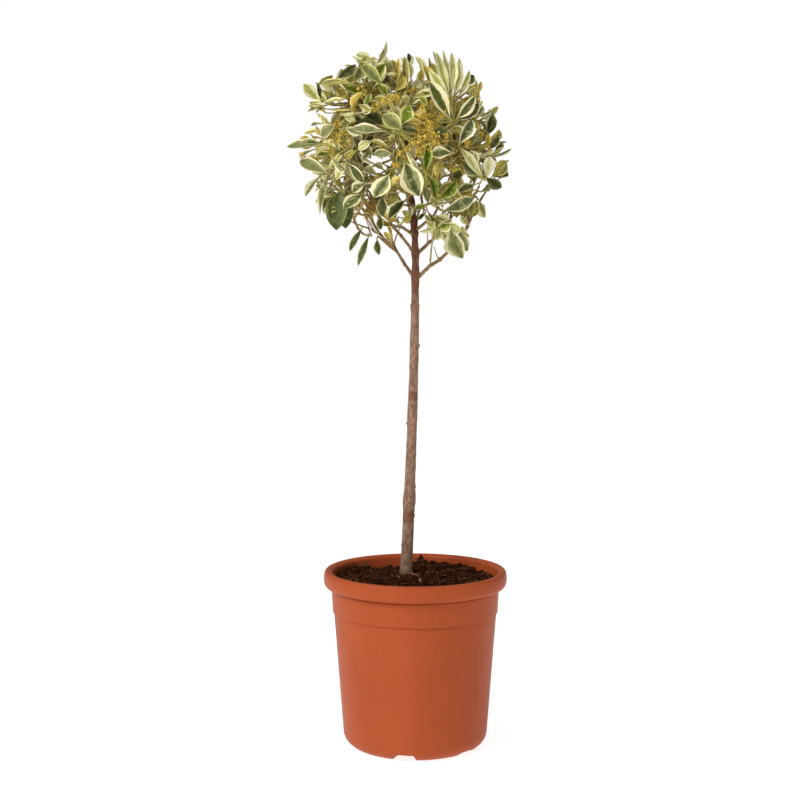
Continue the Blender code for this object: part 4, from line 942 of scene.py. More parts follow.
def add_side_twig(growth, line, place, full, kind, stream):
    """A finer twig beside a shoot's twig, with its own pairs of leaves."""
    index = int(place * (len(line) - 1))
    along = unit(line[index + 1] - line[index])
    out = unit(along * 0.75 + square_to(along, stream.uniform(0.0, 360.0)) + UP * 0.1)
    tip = line[index] + out * stream.uniform(*SIDE_TWIG_LENGTH)
    outward = unit(tip - CROWN_MIDDLE)
    twig = curve(line[index], line[index] + out * 9.0 * MM, tip + outward * 3.0 * MM, TWIG_ROWS)
    if not growth.room(twig[5:]):
        return
    growth.twigs.append((twig, SIDE_TWIG_RADIUS, SIDE_TWIG_TIP_RADIUS, "green"))
    growth.add_pairs(twig, 3, full * 0.88, kind, stream)
    if tip[2] > FLOWER_LOW and stream.random() < FLOWER_CHANCE * 0.5:
        growth.add_side_flower(twig[-2], out, stream)


def shoot_kind(name, tip, stream):
    """Which look a shoot's leaves have: olive towards the top, a few pale or bright ones."""
    draw = stream.random()
    if name in PALE_SHOOTS:
        return "pale"
    height = (tip[2] - CROWN_MIDDLE[2]) / CROWN_REACH[2]
    limits = {"bright": 0.06, "creamy": 0.16, "beige": 0.22, "olive": 0.36 + 0.22 * height, "mature": 0.8}
    return next((kind for kind, limit in limits.items() if draw < limit), "soft")


# Meshes from arrays

def band_faces(rows, sides):
    """Quads between neighbouring rings of a closed tube of points."""
    row, side = np.meshgrid(np.arange(rows - 1), np.arange(sides), indexing="ij")
    low = row * sides + side
    following = row * sides + (side + 1) % sides
    return np.stack((low, following, following + sides, low + sides), axis=-1).reshape(-1, 4)


def capped(rows, sides):
    """The faces of one closed tube: its quads, then a cap at each end."""
    first = np.arange(sides)[::-1]
    last = np.arange(sides) + (rows - 1) * sides
    return band_faces(rows, sides), np.stack((first, last))


def repeated(faces, count, stride):
    """The same faces for count copies whose vertices lie stride apart."""
    return (faces[None] + (np.arange(count) * stride)[:, None, None]).reshape(-1, faces.shape[1])


def tube_rings(points, radii, sides, lobes=None):
    """Rings round lines: P + r (A cos a + B sin a), with A square to the line on one side of it."""
    along = unit(np.gradient(points, axis=1))
    chord = unit(points[:, -1] - points[:, 0])
    helper = np.where(np.abs(chord[:, 2:]) < 0.9, UP, RIGHT)
    start = unit(np.cross(chord, helper))[:, None]
    across = unit(start - along * (start * along).sum(axis=-1, keepdims=True))
    other = np.cross(along, across)
    angle = math.tau * np.arange(sides) / sides
    ring = across[:, :, None] * np.cos(angle)[:, None] + other[:, :, None] * np.sin(angle)[:, None]
    if lobes is not None:
        ring = ring * lobes[:, None]
    return points[:, :, None] + ring * radii[:, :, None, None]


def new_object(name, data):
    """An object with this data, linked to the scene."""
    thing = bpy.data.objects.new(name, data)
    bpy.context.scene.collection.objects.link(thing)
    return thing


def picked(materials, *names):
    """The materials with these names, in their order."""
    return [materials[name] for name in names]


def new_piece(name, vertices, groups, materials, looks=None, uvs=None, sharp=None):
    """Make a piece from vertices and groups of faces; looks numbers each face's material."""
    mesh = bpy.data.meshes.new(name)
    faces = [face for group in groups for face in group.tolist()]
    mesh.from_pydata(vertices.reshape(-1, 3).tolist(), [], faces)
    for material in materials:
        mesh.materials.append(material)
    if looks is not None:
        mesh.polygons.foreach_set("material_index", looks.astype(np.int32))
    if uvs is not None:
        layer = mesh.uv_layers.new(name="along")
        corners = np.empty(len(mesh.loops), np.int32)
        mesh.loops.foreach_get("vertex_index", corners)
        layer.data.foreach_set("uv", uvs.reshape(-1, 2)[corners].astype(np.float32).ravel())
    mesh.shade_smooth()
    if sharp is not None:
        mesh.set_sharp_from_angle(angle=math.radians(sharp))
    mesh.update()
    return new_object(name, mesh)


def tubes_piece(name, rings, materials, looks=None, sharp=None):
    """Join closed tubes, given as rings of points, into one piece."""
    count, rows, sides, _ = rings.shape
    quads, caps = capped(rows, sides)
    stride = rows * sides
    groups = [repeated(quads, count, stride), repeated(caps, count, stride)]
    face_looks = None
    if looks is not None:
        face_looks = np.concatenate((np.repeat(looks, len(quads)), np.repeat(looks, 2)))
    return new_piece(name, rings, groups, materials, face_looks, sharp=sharp)


# Leaves

LEAF_LOOKS = ("dark", "deep", "moss", "slate", "grey", "bright", "vivid", "lime", "cream", "white",
              "butter", "pale", "silver", "under", "mustard", "bract", "petiole")

# Per kind: looks of the centre, of the streaks beside it, of the margin and of the underside,
# then the least and greatest width of the margin as a share of the half-width
LEAF_KINDS = {
    "mature": ("dark", "grey", "cream", "under", 0.16, 0.46),
    "broad": ("moss", "dark", "cream", "under", 0.32, 0.60),
    "hanging": ("slate", "grey", "silver", "silver", 0.30, 0.60),
    "soft": ("slate", "grey", "cream", "under", 0.10, 0.30),
    "beige": ("under", "pale", "cream", "pale", 0.25, 0.50),
    "silver": ("pale", "lime", "cream", "pale", 0.30, 0.55),
    "dark": ("deep", "dark", "cream", "under", 0.08, 0.30),
    # The deep kind is painted shade: dark tones with a narrow slate margin in place of a cream one, for
    # leaves that lie in the crown's shade.
    "deep": ("deep", "dark", "slate", "under", 0.05, 0.16),
    "slate": ("dark", "slate", "pale", "under", 0.06, 0.18),
    "grey": ("grey", "slate", "cream", "under", 0.12, 0.32),
    "rosette": ("slate", "lime", "pale", "under", 0.08, 0.26),
    "young": ("bright", "lime", "butter", "under", 0.10, 0.30),
    "vivid": ("vivid", "bright", "lime", "lime", 0.10, 0.26),
    "bright": ("bright", "lime", "cream", "under", 0.10, 0.34),
    "creamy": ("grey", "pale", "cream", "pale", 0.25, 0.60),
    "pale": ("lime", "pale", "cream", "pale", 0.20, 0.50),
    "white": ("pale", "cream", "white", "pale", 0.30, 0.70),
    "olive": ("under", "mustard", "butter", "mustard", 0.08, 0.34),
    "under": ("under", "slate", "butter", "under", 0.06, 0.26),
    "butter_curl": ("mustard", "butter", "butter", "mustard", 0.20, 0.50),
    "bract": ("bract", "bract", "mustard", "bract", 0.05, 0.20),
}

LEAF_PIECES = {
    "leaves_top": ("foliage_top", "foliage_top_left", "foliage_top_right"),
    "leaves_left": ("foliage_left_back", "foliage_left_front"),
    "leaves_right": ("foliage_right_back", "foliage_right_front"),
    "leaves_middle": ("foliage_front", "foliage_back"),
    "leaves_low": ("foliage_low_right", "foliage_low_left", "foliage_drooping_left", "foliage_low_back",
                   "foliage_low_front"),
}


def leaf_rows(bands):
    """Places of the rows along a leaf: its foot, its stalk's end, then closer towards the tip."""
    eased = np.sin(math.pi / 2 * np.linspace(0.0, 1.0, bands + 1))
    return np.concatenate(([0.0], blend(PETIOLE_END, 1.0, eased)))


def wandering(rng, count, v, amount, jag):
    """Uneven lines along v: two sines of random pitch and start for each leaf, and a jag per row."""
    slow = np.sin(v * rng.uniform(4.0, 8.0, (count, 1)) + rng.uniform(0.0, 6.3, (count, 1)))
    quick = np.sin(v * rng.uniform(14.0, 26.0, (count, 1)) + rng.uniform(0.0, 6.3, (count, 1)))
    return amount * (0.6 * slow + 0.4 * quick) + rng.uniform(-jag, jag, (count, len(v)))


def leaf_across(leaves, rng, v, fine):
    """Where the lines along a leaf lie across it, from -1 to 1 over the top and back beneath."""
    count = len(leaves)
    low = np.array([LEAF_KINDS[leaf[5]][4] for leaf in leaves])[:, None]
    high = np.array([LEAF_KINDS[leaf[5]][5] for leaf in leaves])[:, None]
    outer = []
    inner = []
    for _ in range(2):
        margin = blend(low, high, rng.random((count, 1))) + wandering(rng, count, v, 0.06, 0.06)
        outer.append(1.0 - np.clip(margin, 0.04, 0.85))
        streak = rng.uniform(0.4, 0.8, (count, 1)) + wandering(rng, count, v, 0.12, 0.22 if fine else 0.16)
        inner.append(outer[-1] * np.clip(streak, 0.1, 0.93))
    one = np.ones((count, len(v)))
    zero = np.zeros((count, len(v)))
    top = (-one, -outer[0], -inner[0], zero, inner[1], outer[1], one)
    return np.stack(top + top[-2:0:-1], axis=-1)


def leaf_rings(leaves, rng, rows, fine):
    """Closed leaf surfaces: rows along v, and a loop across u over the top and back underneath.

    With s the share of the blade, the half-width is s^a (1-s)^b over its greatest value, which
    tapers to both ends. The rows slant up along the veins. The height over the leaf's own plane
    is a fold k|u|, a droop c v², a twist t u v and a wave of the margin.
    """
    root, way, face, length, width = (np.array([leaf[i] for leaf in leaves]) for i in range(5))
    steady = np.array([leaf[7] for leaf in leaves])[:, None, None]
    count = len(leaves)
    side = unit(np.cross(way, face))
    normal = np.cross(side, way)
    u = leaf_across(leaves, rng, rows, fine)
    below = np.arange(u.shape[-1]) >= TOP_LINES
    lift = 4.0 * rows * (1.0 - rows) * (rows > PETIOLE_END)
    v = rows[None, :, None] + VEIN_SLANT * np.abs(u) * lift[None, :, None]
    blade = np.clip((v - PETIOLE_END) / (1.0 - PETIOLE_END), 0.0, 1.0)
    base = blend(1.05, rng.uniform(0.85, 1.35, (count, 1, 1)), steady)
    tip = blend(0.82, rng.uniform(0.7, 1.15, (count, 1, 1)), steady)
    widest = base / (base + tip)
    shape = blade ** base * (1.0 - blade) ** tip / (widest ** base * (1.0 - widest) ** tip)
    half = np.maximum(shape * width[:, None, None] / 2, PETIOLE_HALF_WIDTH * (1.0 - 0.7 * v))
    edges = [1.0 + wandering(rng, count, rows, 0.05, 0.02)[..., None] for _ in range(2)]
    x = u * half * np.where(u < 0, edges[0], edges[1])
    fold = rng.uniform(0.15, 0.95, (count, 1, 1))
    droop = rng.uniform(-0.15, 0.36, (count, 1, 1)) * steady
    twist = rng.uniform(-0.5, 0.5, (count, 1, 1))
    wave = rng.uniform(0.0, 0.2, (count, 1, 1)) * np.sin(
        v * rng.uniform(5.0, 11.0, (count, 1, 1)) + rng.uniform(0.0, 6.3, (count, 1, 1)))
    full = length[:, None, None]
    z = np.abs(x) * fold - droop * full * v ** 2 + x * (wave + twist * v)
    thick = LEAF_THICKNESS * (1.0 - 0.7 * v) * below
    thick = np.where((v <= PETIOLE_END) & below, 1.1 * MM, thick)
    bend = rng.uniform(-0.14, 0.14, (count, 1, 1)) * steady * full * v ** 2
    y = v * full * (1.0 - 0.35 * np.abs(droop) * v)
    places = (root[:, None, None] + way[:, None, None] * y[..., None]
              + side[:, None, None] * (x + bend)[..., None]
              + normal[:, None, None] * (z - thick)[..., None])
    return places, np.stack((0.5 + 0.5 * u, v), axis=-1)


def leaf_looks(leaves, rng, rows):
    """The look of every face: margin, streak and centre across the top, and the underside.

    The stalk has a look of its own, and the streaks reach unevenly into the centre.
    """
    count = len(leaves)
    bands = len(rows) - 1
    index = {look: number for number, look in enumerate(LEAF_LOOKS)}
    table = np.array([[index[look] for look in LEAF_KINDS[leaf[5]][:4]] for leaf in leaves])
    centre, streak, margin, under = (np.broadcast_to(table[:, i, None], (count, bands)) for i in range(4))
    halves = [np.where(rng.random((count, bands)) < 0.04, streak, centre) for _ in range(2)]
    beneath = (margin, under, under, under, under, margin)
    looks = np.stack((margin, streak, *halves, streak, margin, *beneath), axis=-1)
    looks[:, 0] = index["petiole"]
    caps = np.stack((np.full(count, index["petiole"]), margin[:, -1]), axis=-1)
    quads = np.repeat(caps, TOP_LINES - 3, axis=1)
    triangles = np.repeat(caps, 2, axis=1)
    return np.concatenate([group.ravel() for group in (looks, quads, triangles)])


def leaf_caps(rows, loop):
    """The faces that close a leaf's two ends: quads between its top and its underside, and a
    triangle at each margin."""
    line = np.arange(1, TOP_LINES - 2)[:, None]
    quads = np.hstack((line, line + 1, loop - 1 - line, loop - line))
    triangles = np.array(((0, 1, loop - 1), (TOP_LINES - 2, TOP_LINES - 1, TOP_LINES)))
    last = (rows - 1) * loop
    return [np.vstack((faces[:, ::-1], faces + last)) for faces in (quads, triangles)]


def make_leaves(growth, materials):
    """Join each group of masses' leaves into a piece, and those set one by one, finer, into another."""
    groups = {name: [] for name in LEAF_PIECES}
    owners = {mass: name for name, masses in LEAF_PIECES.items() for mass in masses}
    for leaf in growth.leaves[len(NAMED_LEAVES):]:
        groups[owners[nearest_mass(leaf[0])]].append(leaf)
    groups["leaves_shown"] = growth.leaves[:len(NAMED_LEAVES)]
    pieces = {}
    for number, (name, leaves) in enumerate(groups.items()):
        rng = np.random.default_rng(LEAF_SEED + number)
        fine = name == "leaves_shown"
        v = leaf_rows(FINE_LEAF_BANDS if fine else LEAF_BANDS)
        places, uvs = leaf_rings(leaves, rng, v, fine)
        count, rows, loop, _ = places.shape
        one_leaf = (band_faces(rows, loop), *leaf_caps(rows, loop))
        faces = [repeated(group, count, rows * loop) for group in one_leaf]
        looks = leaf_looks(leaves, rng, v)
        pieces[name] = new_piece(name, places, faces, picked(materials, *LEAF_LOOKS), looks, uvs, 60.0)
    return pieces


# Limbs, twigs and flower heads

def bark_relief(places, out, depth, grain):
    """Push bark in and out along out: long furrows, and finer ones across them."""
    furrows = noise(places * np.array((1.0, 1.0, 0.16)), grain)
    ridges = noise(places * np.array((1.0, 1.0, 0.5)), grain * 0.45, 5)
    lumps = noise(places, grain * 4.0, 9)
    return places + out * (depth * (0.55 * furrows + 0.3 * ridges + 0.5 * lumps))[..., None]


def make_trunk(material):
    """The trunk from its flat cut at the soil to its tip, round with the bark's relief."""
    heights = np.linspace(TRUNK_CUT_HEIGHT, TRUNK_TIP_HEIGHT, TRUNK_ROWS)
    points = trunk_points(heights)
    radii = trunk_radii(heights)
    rings = tube_rings(points[None], radii[None], TRUNK_SIDES)
    out = unit(rings - points[None, :, None])
    depths = np.interp(heights, (450.0 * MM, 520.0 * MM), (0.34 * MM, 0.8 * MM))[None, :, None]
    rings = bark_relief(rings, out, depths, 1.4 * MM)
    for height, bearing, reach, radius in TRUNK_BUDS:
        way = direction(bearing, 25.0)
        middle = trunk_points(np.array(height * MM)) + way * trunk_radii(np.array(height * MM))
        near = np.exp(-(np.linalg.norm(rings - middle, axis=-1) / (radius * MM)) ** 2)
        rings = rings + way * (near * reach * MM)[..., None]
    rings[0, 0, :, 2] = TRUNK_CUT_HEIGHT
    return tubes_piece("trunk_bark", rings, [material], sharp=60.0)


def make_boughs(boughs, material):
    """The boughs from inside the trunk's bark to where their masses begin."""
    lines = np.array(list(boughs.values()))
    widths = np.array([bough_radii(name, line) for name, line in boughs.items()])
    widths += (0.2 * noise(lines, 6.0 * MM, 3) + 0.5 * np.maximum(noise(lines, 4.0 * MM, 4), 0.0) ** 3) * MM
    rings = tube_rings(lines, widths, BOUGH_SIDES)
    out = unit(rings - lines[:, :, None])
    rings = bark_relief(rings, out, 0.32 * MM, 1.2 * MM)
    return tubes_piece("bough_bark", rings, [material], sharp=60.0)


def make_twigs(growth, materials):
    """Stems and twigs as tapering tubes with a swelling at each node."""
    lines = np.array([twig[0] for twig in growth.twigs])
    share = np.linspace(0.0, 1.0, TWIG_ROWS)
    radii = np.array([blend(twig[1], twig[2], share) for twig in growth.twigs])
    radii[:, 2:-1:2] *= NODE_SWELLING
    rings = tube_rings(lines, radii, TWIG_SIDES)
    rings += noise(rings, 3.0 * MM, 2)[..., None] * 0.12 * MM
    looks = np.array([TWIG_LOOKS.index(twig[3]) for twig in growth.twigs])
    return tubes_piece("twigs", rings, picked(materials, *TWIG_LOOKS), looks, 60.0)


def make_flower_stalks(growth, material):
    """The thin stalks of the flower heads."""
    feet = np.array([stalk[0] for stalk in growth.stalks])
    ends = np.array([stalk[1] for stalk in growth.stalks])
    share = np.linspace(0.0, 1.0, 3)[None, :, None]
    lines = blend(feet[:, None], ends[:, None], share)
    widths = np.array([[stalk[2]] * 3 for stalk in growth.stalks])
    return tubes_piece("flower_stalks", tube_rings(lines, widths, 4), [material])


def make_flowers(growth, materials):
    """Buds and four-lobed flowers as short closed tubes."""
    tips, ways, sizes, draws = (np.array([bud[i] for bud in growth.buds]) for i in range(4))
    open_share = (draws < OPEN_FLOWERS)[:, None]
    steps = np.where(open_share, (-0.7, 0.1, 0.5), (-0.8, 0.0, 0.8))
    profile = np.where(open_share, (0.3, 2.0, 0.35), (0.35, 0.9, 0.35))
    lines = tips[:, None] + ways[:, None] * (sizes[:, None] * steps)[..., None]
    lobed = np.where((np.arange(8) % 2 == 0)[None] | ~open_share, 1.0, 0.42)
    rings = tube_rings(lines, sizes[:, None] * profile, 8, lobed[..., None])
    looks = np.digitize(draws * 7.0 % 1.0, (0.4, 0.75))
    return tubes_piece("flowers", rings, picked(materials, "gold", "ochre", "dry"), looks)


# Pot and soil

def arc(centre_radius, centre_height, reach_radius, reach_height, start, end, steps, square=1.0):
    """Points (r + a cos t, h + b sin t) of an ellipse's arc between two angles in degrees.

    The cosine and the sine keep their signs and are raised to a power, which squares the arc.
    """
    t = np.radians(np.linspace(start, end, steps + 1))
    across = np.sign(np.cos(t)) * np.abs(np.cos(t)) ** square
    upward = np.sign(np.sin(t)) * np.abs(np.sin(t)) ** square
    return np.stack((centre_radius + reach_radius * across, centre_height + reach_height * upward), axis=1)


def line_points(start, end, steps):
    """Evenly spaced points of a straight run of the profile."""
    return blend(np.array(start), np.array(end), np.linspace(0.0, 1.0, steps + 1)[:, None])


def wall_radius(height):
    """The outer radius of the plain tapered wall at a height."""
    return blend(WALL_FOOT_RADIUS, WALL_TOP_RADIUS, height / (POT_HEIGHT - BAND_BOTTOM_DROP))


def inner_corners(inset):
    """The corners of the pot's inside, from the lip down to the floor, moved in by inset."""
    return [
        (BAND_TOP_RADIUS - WALL_THICKNESS - inset, POT_HEIGHT - BAND_TOP_DROP),
        (WALL_TOP_RADIUS - WALL_THICKNESS - inset, POT_HEIGHT - BAND_BOTTOM_DROP),
        (wall_radius(FLOOR_CORNER_HEIGHT) - WALL_THICKNESS - inset, FLOOR_CORNER_HEIGHT),
        (FLOOR_RADIUS - inset, FLOOR_THICKNESS + inset),
    ]


def lathe(profile, bearings):
    """Turn a profile of radius and height about Z, from its foot on the axis round and up."""
    around = np.stack((np.cos(bearings), np.sin(bearings)), axis=-1)
    flat = profile[:, None, :1] * around[None]
    heights = np.broadcast_to(profile[:, None, 1:], (len(profile), len(bearings), 1))
    return np.concatenate((flat, heights), axis=-1)


def lathe_piece(name, rings, low_pole, high_pole, material, sharp):
    """Close a turned surface with a point on the axis at each end."""
    rows, sides, _ = rings.shape
    vertices = np.vstack((rings.reshape(-1, 3), low_pole, high_pole))
    side = np.arange(sides)
    following = (side + 1) % sides
    low = np.stack((following, side, np.full(sides, rows * sides)), axis=1)
    last = (rows - 1) * sides
    high = np.stack((last + side, last + following, np.full(sides, rows * sides + 1)), axis=1)
    return new_piece(name, vertices, [band_faces(rows, sides), low, high], [material], sharp=sharp)


def make_pot(material):
    """The pot: underside, rounded foot, tapered wall, raised band, rolled lip and inside.

    The foot is lifted over each drainage notch to the height of a trapezium across it.
    """
    lip_middle = POT_HEIGHT - LIP_WIDEST_DROP
    band_top = POT_HEIGHT - BAND_TOP_DROP
    band_bottom = POT_HEIGHT - BAND_BOTTOM_DROP
    taper = math.atan((WALL_TOP_RADIUS - WALL_FOOT_RADIUS) / band_bottom)
    fillet_radius = wall_radius(FOOT_FILLET) - FOOT_FILLET / math.cos(taper)
    foot = arc(fillet_radius, FOOT_FILLET, FOOT_FILLET, FOOT_FILLET, -90.0, -math.degrees(taper), 14)
    profile = np.vstack((
        line_points((12.0 * MM, 0.0), (NOTCH_INNER_RADIUS, 0.0), 3),
        foot,
        line_points(foot[-1], (WALL_TOP_RADIUS, band_bottom - 2.0 * GROOVE), 12)[1:],
        ((WALL_TOP_RADIUS - 0.4 * GROOVE, band_bottom),),
        arc(BAND_BOTTOM_RADIUS - BAND_EDGE, band_bottom + BAND_EDGE, BAND_EDGE, BAND_EDGE, -80.0, 0.0, 4),
        line_points((BAND_BOTTOM_RADIUS, band_bottom + 2.0 * BAND_EDGE),
                    (BAND_TOP_RADIUS, band_top - GROOVE), 5),
        ((BAND_TOP_RADIUS - GROOVE, band_top), (BAND_TOP_RADIUS - GROOVE, POT_HEIGHT - LIP_DEPTH)),
        arc(LIP_UNDER_RADIUS, lip_middle, LIP_RADIUS - LIP_UNDER_RADIUS, LIP_DEPTH - LIP_WIDEST_DROP,
            -90.0, 0.0, 9, LIP_SQUARENESS),
        arc(LIP_CREST_RADIUS, lip_middle, LIP_RADIUS - LIP_CREST_RADIUS, LIP_WIDEST_DROP, 0.0, 90.0, 10,
            LIP_SQUARENESS)[1:],
        arc(LIP_CREST_RADIUS, POT_HEIGHT - LIP_INNER_DROP, LIP_CREST_RADIUS - LIP_INNER_RADIUS,
            LIP_INNER_DROP, 90.0, 180.0, 8)[1:],
        np.array(inner_corners(0.0)),
    ))
    half_low = NOTCH_WIDTH_BOTTOM / 2 / WALL_FOOT_RADIUS
    half_high = NOTCH_WIDTH_TOP / 2 / WALL_FOOT_RADIUS
    notches = math.radians(NOTCH_BEARING) + np.arange(NOTCH_COUNT) * math.tau / NOTCH_COUNT
    edges = (notches[:, None] + np.array((-half_low, -half_high, half_high, half_low))).ravel()
    bearings = np.sort(np.concatenate((np.arange(POT_STEPS) * math.tau / POT_STEPS, edges % math.tau)))
    off = np.abs((bearings[:, None] - notches + math.pi) % math.tau - math.pi)
    slope = np.clip((half_low - off.min(axis=1)) / (half_low - half_high), 0.0, 1.0)
    lift = NOTCH_HEIGHTS[off.argmin(axis=1)] * slope
    rings = lathe(profile, bearings)
    outside = np.arange(len(profile))[:, None] < len(foot) + NOTCH_ROWS
    reach = np.clip((np.linalg.norm(rings[..., :2], axis=-1) - NOTCH_INNER_RADIUS) / (2.0 * MM), 0.0, 1.0)
    rings[..., 2] = np.where(outside, np.maximum(rings[..., 2], lift * reach), rings[..., 2])
    return lathe_piece("pot_shell", rings, (0.0, 0.0, 0.0), (0.0, 0.0, FLOOR_THICKNESS), material, 40.0)


def soil_height(x, y):
    """The soil's height: a mound round the trunk's seat, shallow lumps, and heaps by the wall."""
    away = np.hypot(x - TRUNK_FOOT[0], y - TRUNK_FOOT[1])
    past = np.maximum(away - SOIL_SEAT_RADIUS, 0.0)
    mound = SOIL_MOUND * np.exp(-(past / SOIL_MOUND_RADIUS) ** 2)
    wave_x, wave_y, wave_cross = SOIL_WAVES
    lumps = SOIL_LUMP * np.sin(x / wave_x + 1.0) * np.cos(y / wave_y)
    lumps = lumps + SOIL_CROSS_LUMP * np.sin((x + 2.0 * y) / wave_cross)
    heaps = np.zeros_like(x)
    for heap_x, heap_y, rise, spread in SOIL_HEAPS:
        off = np.hypot(x - heap_x * MM, y - heap_y * MM)
        heaps = heaps + rise * MM * np.exp(-off ** 2 / (spread * MM) ** 2)
    return SOIL_EDGE_HEIGHT + mound + heaps + lumps * np.minimum(1.0, past / SOIL_SEAT_RADIUS)


def soil_clods(x, y):
    """Clods and crumbs on the soil: sharpened noise at three sizes."""
    flat = np.stack((x, y, np.zeros_like(x)), axis=-1)
    coarse = noise(flat, 7.0 * MM, 11)
    middle = np.abs(noise(flat, 3.4 * MM, 12))
    fine = noise(flat, 1.5 * MM, 13)
    return (2.0 * coarse + 2.2 * middle + 0.7 * fine) * MM


def make_soil(material):
    """The filling of the pot, with a cloddy top."""
    edge = BAND_TOP_RADIUS - WALL_THICKNESS - CLEARANCE
    side = np.array(inner_corners(CLEARANCE)[::-1])
    radii = edge * np.linspace(1.0, 0.0, SOIL_RINGS + 1)[:-1]
    top = np.stack((radii, np.full(SOIL_RINGS, SOIL_EDGE_HEIGHT)), axis=1)
    profile = np.vstack((side, top))
    bearings = np.arange(SOIL_STEPS) * math.tau / SOIL_STEPS
    rings = lathe(profile, bearings)
    x = rings[len(side):, :, 0]
    y = rings[len(side):, :, 1]
    rings[len(side):, :, 2] = soil_height(x, y) + soil_clods(x, y)
    low_pole = (0.0, 0.0, FLOOR_THICKNESS + CLEARANCE)
    high_pole = (0.0, 0.0, soil_height(np.zeros(1), np.zeros(1))[0])
    return lathe_piece("soil_filling", rings, low_pole, high_pole, material, 50.0)


def scattered(count, rng):
    """Places spread over the soil, off the trunk and inside the pot's wall."""
    radius = np.sqrt(rng.uniform(0.0, LITTER_REACH ** 2, count))
    bearing = rng.uniform(0.0, math.tau, count)
    x = radius * np.cos(bearing)
    y = radius * np.sin(bearing)
    keep = np.hypot(x - TRUNK_FOOT[0], y - TRUNK_FOOT[1]) > LITTER_TRUNK_GAP
    x, y = x[keep], y[keep]
    return np.stack((x, y, soil_height(x, y) + soil_clods(x, y)), axis=-1)


def lumps(places, lengths, widths, rng):
    """Irregular lumps: short tubes of six sides, fattest in the middle, each knocked about."""
    count = len(places)
    ways = unit(rng.normal(size=(count, 3)) * np.array((1.0, 1.0, 0.35)))
    steps = np.array((-0.5, -0.28, 0.22, 0.5))
    profile = np.array((0.45, 1.0, 0.9, 0.4))
    lines = places[:, None] + ways[:, None] * (lengths[:, None] * steps)[..., None]
    rings = tube_rings(lines, widths[:, None] * profile, 6)
    rings += rng.normal(size=rings.shape) * (widths * 0.16)[:, None, None, None]
    return rings


def root_piece():
    """The piece of root beside the trunk: a short bent tube of as many rows as a lump has."""
    start, end, rise = ROOT_PIECE
    t = np.linspace(0.0, 1.0, 4)[:, None]
    flat = blend(np.array(start), np.array(end), t) * MM
    flat[:, 0] += 2.5 * MM * np.sin(math.pi * t[:, 0])
    line = np.column_stack((flat, soil_height(flat[:, 0], flat[:, 1]) + rise * MM))
    return tube_rings(line[None], np.array([[2.2, 2.6, 2.0, 1.2]]) * MM, 6)


def make_crumbs(materials, rng):
    """Crumbs of soil, the first of them larger clods, and a few pale grains of grit."""
    places = scattered(CLODS + CRUMBS, rng)
    sizes = rng.uniform(0.5, 1.8, len(places)) ** 1.4 * MM
    looks = rng.choice(4, len(places), p=(0.58, 0.25, 0.12, 0.05))
    sizes[looks == 3] = rng.uniform(0.45, 0.85, (looks == 3).sum()) * MM
    sizes[:CLODS] = rng.uniform(2.2, 4.0, CLODS) * MM
    looks[:CLODS] = rng.choice(2, CLODS)
    rings = lumps(places, sizes * 2.2, sizes, rng)
    return tubes_piece("soil_crumbs", rings, picked(materials, "peat", "soil", "chip", "grit"), looks, 30.0)


def make_chips(materials, rng):
    """Bark chips: lumps flattened to half their height, and the piece of root beside the trunk."""
    places = scattered(CHIPS, rng) + UP * 0.6 * MM
    lengths = rng.uniform(4.0, 11.0, len(places)) * MM
    rings = lumps(places, lengths, lengths * rng.uniform(0.14, 0.3, len(places)), rng)
    middle = places[:, None, None]
    rings = middle + (rings - middle) * np.array((1.0, 1.0, 0.5))
    looks = rng.choice(3, len(places), p=(0.5, 0.35, 0.15))
    rings = np.concatenate((rings, root_piece()))
    looks = np.append(looks, 3)
    return tubes_piece("bark_chips", rings, picked(materials, "chip", "peat", "fibre", "root"), looks, 30.0)


def make_fibres(materials, rng):
    """Root fibres: thin tubes bent to one side."""
    places = scattered(FIBRES, rng) + UP * 1.2 * MM
    count = len(places)
    ways = unit(rng.normal(size=(count, 3)) * np.array((1.0, 1.0, 0.25)))
    bends = unit(rng.normal(size=(count, 3)) * np.array((1.0, 1.0, 0.3)))
    t = np.linspace(-1.0, 1.0, 6)[None, :, None]
    reach = rng.uniform(4.0, 9.0, count)[:, None, None] * MM
    lines = places[:, None] + ways[:, None] * t * reach + bends[:, None] * (t ** 2 - 0.4) * reach * 0.5
    widths = np.broadcast_to(rng.uniform(0.18, 0.4, count)[:, None] * MM, (count, 6))
    return tubes_piece("root_fibres", tube_rings(lines, widths, 4), [materials["fibre"]])


def make_litter(materials):
    """Crumbs, bark chips and root fibres that lie on the soil."""
    rng = np.random.default_rng(LITTER_SEED)
    return [make(materials, rng) for make in (make_crumbs, make_chips, make_fibres)]


# Materials

class Signal:
    """A number in a material's nodes. Each operator adds the Math node that works it out."""

    def __init__(self, look, socket):
        self.look = look
        self.socket = socket

    def __add__(self, other):
        return self.look.maths("ADD", self, other)

    __radd__ = __add__

    def __mul__(self, other):
        return self.look.maths("MULTIPLY", self, other)

    __rmul__ = __mul__

    def __sub__(self, other):
        return self.look.maths("SUBTRACT", self, other)

    def __rsub__(self, other):
        return self.look.maths("SUBTRACT", other, self)

    def step(self, low, high):
        """Nothing below low, one above high, eased between."""
        node = self.look.add("ShaderNodeMapRange", {"interpolation_type": "SMOOTHSTEP"},
                             {"Value": self, "From Min": low, "From Max": high})
        return Signal(self.look, node.outputs[0])


